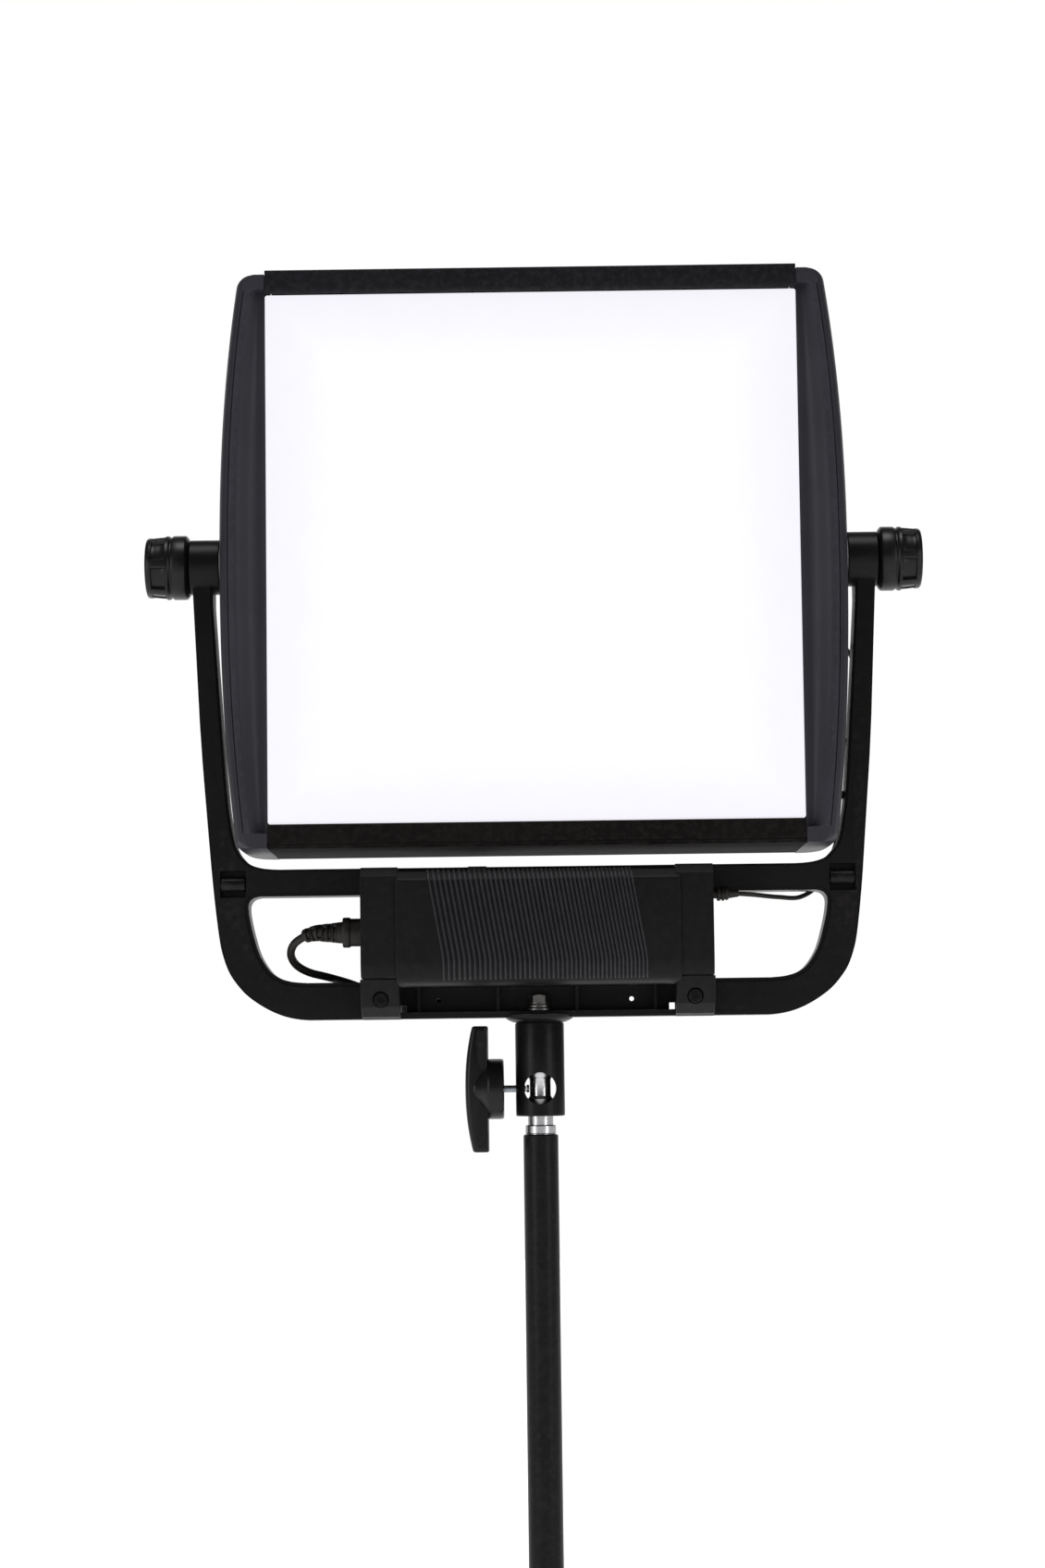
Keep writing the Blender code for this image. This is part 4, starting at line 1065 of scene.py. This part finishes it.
def make_shells():
    """The two hollow side shells, each with a bore for the tilt bolt and two small holes."""
    start = HEAD_LOW + SCOOP_END
    end = SHELL_TOP - SCOOP_END
    steps = (0, 0.25, 0.7, 1.3, 2, 3, 3.9, 4.6, 5.4, 6.2, 7.2, 8.2)
    levels = [HEAD_LOW + u for u in steps]
    levels += [start - SCOOP_FADE + 0.26 * k for k in range(6)]
    levels += [start + (end - start) * k / 60 for k in range(1, 60)]
    levels += [end + 0.26 * k for k in range(6)]
    levels += [SHELL_TOP - u for u in reversed(steps)]
    for side, word in SIDES:
        rings = []
        for z in levels:
            scoop = eased(min((z - start + SCOOP_FADE) / SCOOP_FADE, (end + SCOOP_FADE - z) / SCOOP_FADE))
            rings.append(shell_ring(z, side, scoop, 4.2 < z - HEAD_LOW and z < SHELL_TOP - 4.2))
        base = solid("shell_" + word, skin(rings), SHELL)
        cutters = []
        combine(base, cutters, rod_mesh(6.3, "X", (0, TILT_Z), side * 188, side * 204, 64))
        for rise in (10.5, 16):
            centre = (FRONT + 20, HEAD_LOW + rise)
            combine(base, cutters, rod_mesh(1.2, "X", centre, side * 183, side * 203, 24))
        made = as_mesh(base)
        for cutter in cutters:
            bpy.data.objects.remove(cutter, do_unlink=True)
        round_edges(made, 0, smooth=28)
        finish_piece(made, "panel", ("side_shell_" + word,))


def make_rails():
    """The top and bottom rails between the shells, and the diffuser that they hold."""
    section = arc(-49.7, HEAD_TOP - 0.8, 0.8, 180, 90, 4) + arc(48.3, HEAD_TOP - 1.2, 1.2, 90, 0, 5)
    section += [(49.5, 825), (47, 825), (47, 841.5), (-47.7, 841.5), (-47.7, 829.2)]
    section += [(-48.6, 829.2), (-49.2, 829.4), (-49.8, 830), (-50.2, 830.8), (-50.5, 831.8)]
    obj = add_piece("rail_top_shown", prism_mesh(section, "X", -RAIL_HALF, RAIL_HALF), RAIL, None)
    round_edges(obj, 0.3)
    finish_piece(obj, "panel", ("rail_top",))
    low = HEAD_LOW
    section = [
        (-50.5, 492.9), (-50.5, low + 3.3), (-50.1, low + 2.9), (-49.2, low + 2.9), (-48.9, low + 2.5),
        (-48.9, low + 1.7), (-48.5, low + 1.3), (-46.9, low + 1.3), (-46.4, low + 0.8), (-46.4, low + 0.4),
        (-46, low), (48, low), (49.5, low + 1.5), (49.5, 497.7), (47, 497.7), (47, low + 3.2),
        (-44, low + 3.2), (-44, low + 5.4), (-47.7, low + 5.4), (-47.7, 493.7), (-49.7, 493.7),
    ]
    work = prism_mesh(section, "X", -RAIL_HALF, RAIL_HALF)
    obj = add_piece("rail_bottom_shown", work, RAIL_LOW, None)
    round_edges(obj, 0.25)
    finish_piece(obj, "panel", ("rail_bottom",))
    soften("diffuser", "panel", 0.6)


KNOB_STATIONS = [
    (220.1, 18.2, 0), (220.5, 18.8, 0), (221.6, 20.2, 0), (222.4, 20.5, 0), (229.6, 20.5, 0),
    (230.4, 20.2, 0), (230.8, 19.6, 0), (231.4, 19.5, 0), (231.8, 19.6, 0), (232.4, 20.1, 0),
    (233.2, 20.45, 0), (234.6, 20.45, 0), (235, 20.4, 0.9), (235.4, 20.35, 1), (238.6, 20.1, 1),
    (241.6, 19.8, 1), (243, 19.6, 1), (243.4, 19.55, 0.9), (243.8, 19.5, 0.1), (245.6, 19.2, 0),
    (246.6, 18.8, 0), (247.2, 18.1, 0), (247.5, 17, 0), (247.5, 12.6, 0), (247.1, 12.2, 0),
    (246.9, 11.4, 0), (246.9, 0.4, 0),
]


def knob_ring(side, x, radius, deep):
    """One ring of a tilt knob; deep says how much of the six grips is cut there."""
    ring = []
    for angle in turns(180):
        notch = eased((math.cos(6 * (angle - math.radians(30))) + 0.72) / 0.22)
        r = radius - 2.2 * deep * notch * min(1, radius / 15)
        ring.append((side * x, r * math.cos(angle), TILT_Z + r * math.sin(angle)))
    return ring


def make_knobs():
    """Six-lobed tilt knobs with a plain inner ring and a dished end, and their toothed washers."""
    teeth = []
    for j, angle in enumerate(turns(144)):
        r = 18.1 if j % 2 else 17.2
        teeth.append((r * math.cos(angle), TILT_Z + r * math.sin(angle)))
    for side, word in SIDES:
        body = "tilt_knob_" + word
        work = skin([knob_ring(side, *station) for station in KNOB_STATIONS])
        add_piece("knob_shown_" + word, work, NYLON, body, (body,), 32)
        low, high = sorted((side * 198.85, side * 199.9))
        work = prism_mesh(teeth, "X", low, high)
        washer = "friction_washer_" + word
        add_piece("washer_shown_" + word, work, BRIGHT, "panel", (washer,), 20)


# ---------------------------------------------------------------- back of the head
CONTROL_Z = 525
DC_SOCKET = (150, 600)
DIAL_STATIONS = (
    (56.4, 9, 0), (56.5, 9.5, 0), (57.4, 9.7, 0), (58, 9.6, 1), (66.4, 9.3, 1), (67.4, 8.9, 0.6),
    (68.1, 8.2, 0), (68.4, 7.4, 0), (68.2, 6.6, 0), (68.2, 0.3, 0),
)


def disc_row(name, places, profile, mat, steps=32):
    """One piece of equal turned parts on the back of the head."""
    work = bmesh.new()
    for centre in places:
        merge(work, turned_mesh(profile, "Y", centre, steps))
    return add_piece(name, work, mat, "panel", (), 30)


def make_dial(node, x):
    """A knurled dial with its mark, and the ticks round it."""
    rings = []
    for y, radius, deep in DIAL_STATIONS:
        ring = []
        for angle in turns(144):
            r = radius - 0.5 * deep * (0.5 + 0.5 * math.cos(36 * angle))
            ring.append((x + r * math.cos(angle), y, CONTROL_Z + r * math.sin(angle)))
        rings.append(ring)
    add_piece(node + "_shown", skin(rings), NYLON, node, (node,), 40)
    mark = box_mesh((x - 0.4, 68, CONTROL_Z + 2.5), (x + 0.4, 68.5, CONTROL_Z + 8))
    add_piece(node + "_mark", mark, WHITE, node, (), 0)
    ticks = bmesh.new()
    for k in range(11):
        angle = math.radians(240 - 30 * k)
        length = 1.8 if k % 5 else 2.6
        tick = box_mesh((11.6, 56, -0.2), (11.6 + length, 56.25, 0.2))
        bmesh.ops.rotate(tick, cent=(0, 0, 0), matrix=Matrix.Rotation(-angle, 3, "Y"), verts=tick.verts)
        bmesh.ops.translate(tick, vec=(x, 0, CONTROL_Z), verts=tick.verts)
        merge(ticks, tick)
    add_piece(node + "_ticks", ticks, WHITE, "panel", (), 0)


def make_data_socket(node, x):
    """A round five-pin socket."""
    ring = [
        (0, 54.1), (10.6, 54.1), (11, 54.5), (11, 57), (10.6, 57.4), (8.8, 57.4), (8.4, 57),
        (8.4, 55.4), (0, 55.4),
    ]
    work = turned_mesh(ring, "Y", (x, CONTROL_Z), 72)
    add_piece(node + "_shown", work, ALLOY, "panel", (node,), 30)
    core = [(0, 55.4), (7.2, 55.4), (7.2, 56.6), (6.9, 56.9), (0, 56.9)]
    work = turned_mesh(core, "Y", (x, CONTROL_Z), 64)
    add_piece(node + "_core", work, NYLON, "panel", (), 30)
    angles = [math.radians(18 + 72 * k) for k in range(5)]
    places = [(x + 4.0 * math.cos(angle), CONTROL_Z + 4.0 * math.sin(angle)) for angle in angles]
    pin = [(0, 56.8), (0.8, 56.8), (0.8, 57.2), (0, 57.3)]
    disc_row(node + "_pins", places, pin, BRASS, 16)


def make_dc_socket():
    """The power socket and the ribbed plug in it."""
    ring = [
        (0, 54.1), (7.6, 54.1), (8, 54.5), (8, 58.6), (7.6, 59), (5.6, 59), (5.3, 58.7),
        (5.3, 55.2), (0, 55.2),
    ]
    work = turned_mesh(ring, "Y", DC_SOCKET, 64)
    add_piece("dc_socket_shown", work, NYLON, "panel", ("dc_socket",), 30)
    plug = [
        (0, 55.6), (4.9, 55.6), (4.9, 59.4), (5.8, 59.6), (6, 60), (6, 61.6), (5.7, 61.8),
        (5.7, 62.6), (6, 62.8), (6, 64), (5.7, 64.2), (5.7, 65), (6, 65.2), (6, 69.6),
        (5.6, 70.4), (4.2, 71), (4, 72.4), (3.4, 72.8), (3.8, 73.6), (3.8, 74.6), (3.2, 75),
        (3.5, 75.8), (3.5, 76.8), (3, 77.2), (3.2, 78), (3.1, 79.4), (2.8, 79.8), (0, 79.8),
    ]
    work = turned_mesh(plug, "Y", DC_SOCKET, 64)
    add_piece("dc_plug_shown", work, PVC, "panel", ("dc_plug",), 30)


def make_screws():
    """The screws round the rear cover and at the corners of the control plate."""
    screw = [(0, 54), (0.9, 54), (0.9, 54.7), (2.3, 54.5), (2.6, 54.1), (2.6, 53.6), (0, 53.6)]
    places = [(x, z) for x in (-158, 0, 158) for z in (489, 833)]
    places += [(-158, 657), (158, 657)]
    disc_row("cover_screws", places, screw, DARK_STEEL)
    screw = [(0, 56.4), (0.6, 56.4), (0.6, 56.9), (1.5, 56.8), (1.7, 56.4), (1.7, 56), (0, 56)]
    places = [(x, z) for x in (-58.5, 58.5) for z in (503.5, 546.5)]
    disc_row("plate_screws", places, screw, DARK_STEEL, 24)


def make_back():
    """Cover, control plate, display, switch, dials, sockets and screws."""
    soften("rear_cover", "panel", 0.5)
    soften("control_plate", "panel", 0.4)
    soften("display", "panel", 0.2)
    soften("switch_bezel", "panel", 0.5)
    soften("power_switch", "power_switch", 0.5)
    make_dial("dimmer_dial", 40)
    make_dial("colour_dial", -44)
    make_data_socket("data_socket_in", -96)
    make_data_socket("data_socket_out", -124)
    make_dc_socket()
    make_screws()
    bars = bmesh.new()
    for k, length in enumerate((24, 30, 16, 21)):
        low = 518.0 + 4.2 * k
        merge(bars, box_mesh((-18, 55.8, low), (-18.0 + length, 55.95, low + 1.8)))
    add_piece("display_bars", bars, WHITE, "panel", (), 0)


make_stand()
make_receiver()
make_clamp_screw()
make_handle()
make_yoke()
make_supply()
make_relief()
make_shells()
make_rails()
make_knobs()
make_back()
make_cords()


# ---------------------------------------------------------------- stage and light
FLOOR_HALF = 400.0
FLOOR_DROP = 0.001
WORLD_LIGHT = 0.11
LIGHTS = (
    ("key_left", (-1.9, -1.7, 0.9), (0, 0, 0.5), (0.5, 1.5), 17),
    ("key_right", (1.9, -1.7, 0.9), (0, 0, 0.5), (0.5, 1.5), 14),
    ("overhead", (0, -0.4, 2.6), (0, 0, 0.6), (1.4, 0.9), 26),
)


def make_stage():
    """The pale floor that reaches out of sight."""
    s = Shader("pale_floor")
    s.link(s.ramp(s.noise(3.0), (0.90, 0.90, 0.90, 1), (0.94, 0.94, 0.94, 1)), s.bsdf.inputs["Base Color"])
    s.surface(Roughness=0.9, Specular_IOR_Level=0.1, Emission_Color=(1, 1, 1, 1), Emission_Strength=0.84)
    work = bmesh.new()
    bmesh.ops.create_grid(work, x_segments=8, y_segments=8, size=FLOOR_HALF)
    mesh = bpy.data.meshes.new("floor")
    work.to_mesh(mesh)
    work.free()
    mesh.materials.append(s.mat)
    floor = place_object("floor", mesh)
    floor.location = (0, 0, -FLOOR_DROP)


def make_backdrop():
    """The white wall behind the lamp."""
    s = Shader("white_backdrop")
    s.link(s.ramp(s.noise(2.0), (0.98, 0.98, 0.98, 1), (1, 1, 1, 1)), s.bsdf.inputs["Emission Color"])
    s.surface(Emission_Strength=1.03, Base_Color=(0, 0, 0, 1), Specular_IOR_Level=0.0)
    work = box_mesh((-2600, 4200, 0), (2600, 4220, 4200))
    add_piece("backdrop", work, s.mat, None, smooth=0)


def area_light(name, place, aim, size, power):
    """A rectangular light at a place, turned to its aim."""
    data = bpy.data.lights.new(name, "AREA")
    data.shape = "RECTANGLE"
    data.size = size[0]
    data.size_y = size[1]
    data.energy = power
    light = place_object(name, data)
    light.location = place
    light.rotation_euler = (Vector(aim) - Vector(place)).to_track_quat("-Z", "Y").to_euler()


def make_lights():
    """Dim white surroundings and three area lights."""
    world = bpy.data.worlds.new("studio")
    world.use_nodes = True
    sky = world.node_tree.nodes["Background"]
    sky.inputs["Color"].default_value = (1, 1, 1, 1)
    sky.inputs["Strength"].default_value = WORLD_LIGHT
    bpy.context.scene.world = world
    for light in LIGHTS:
        area_light(*light)
    bpy.context.scene.view_settings.view_transform = "Standard"


make_stage()
make_backdrop()
make_lights()
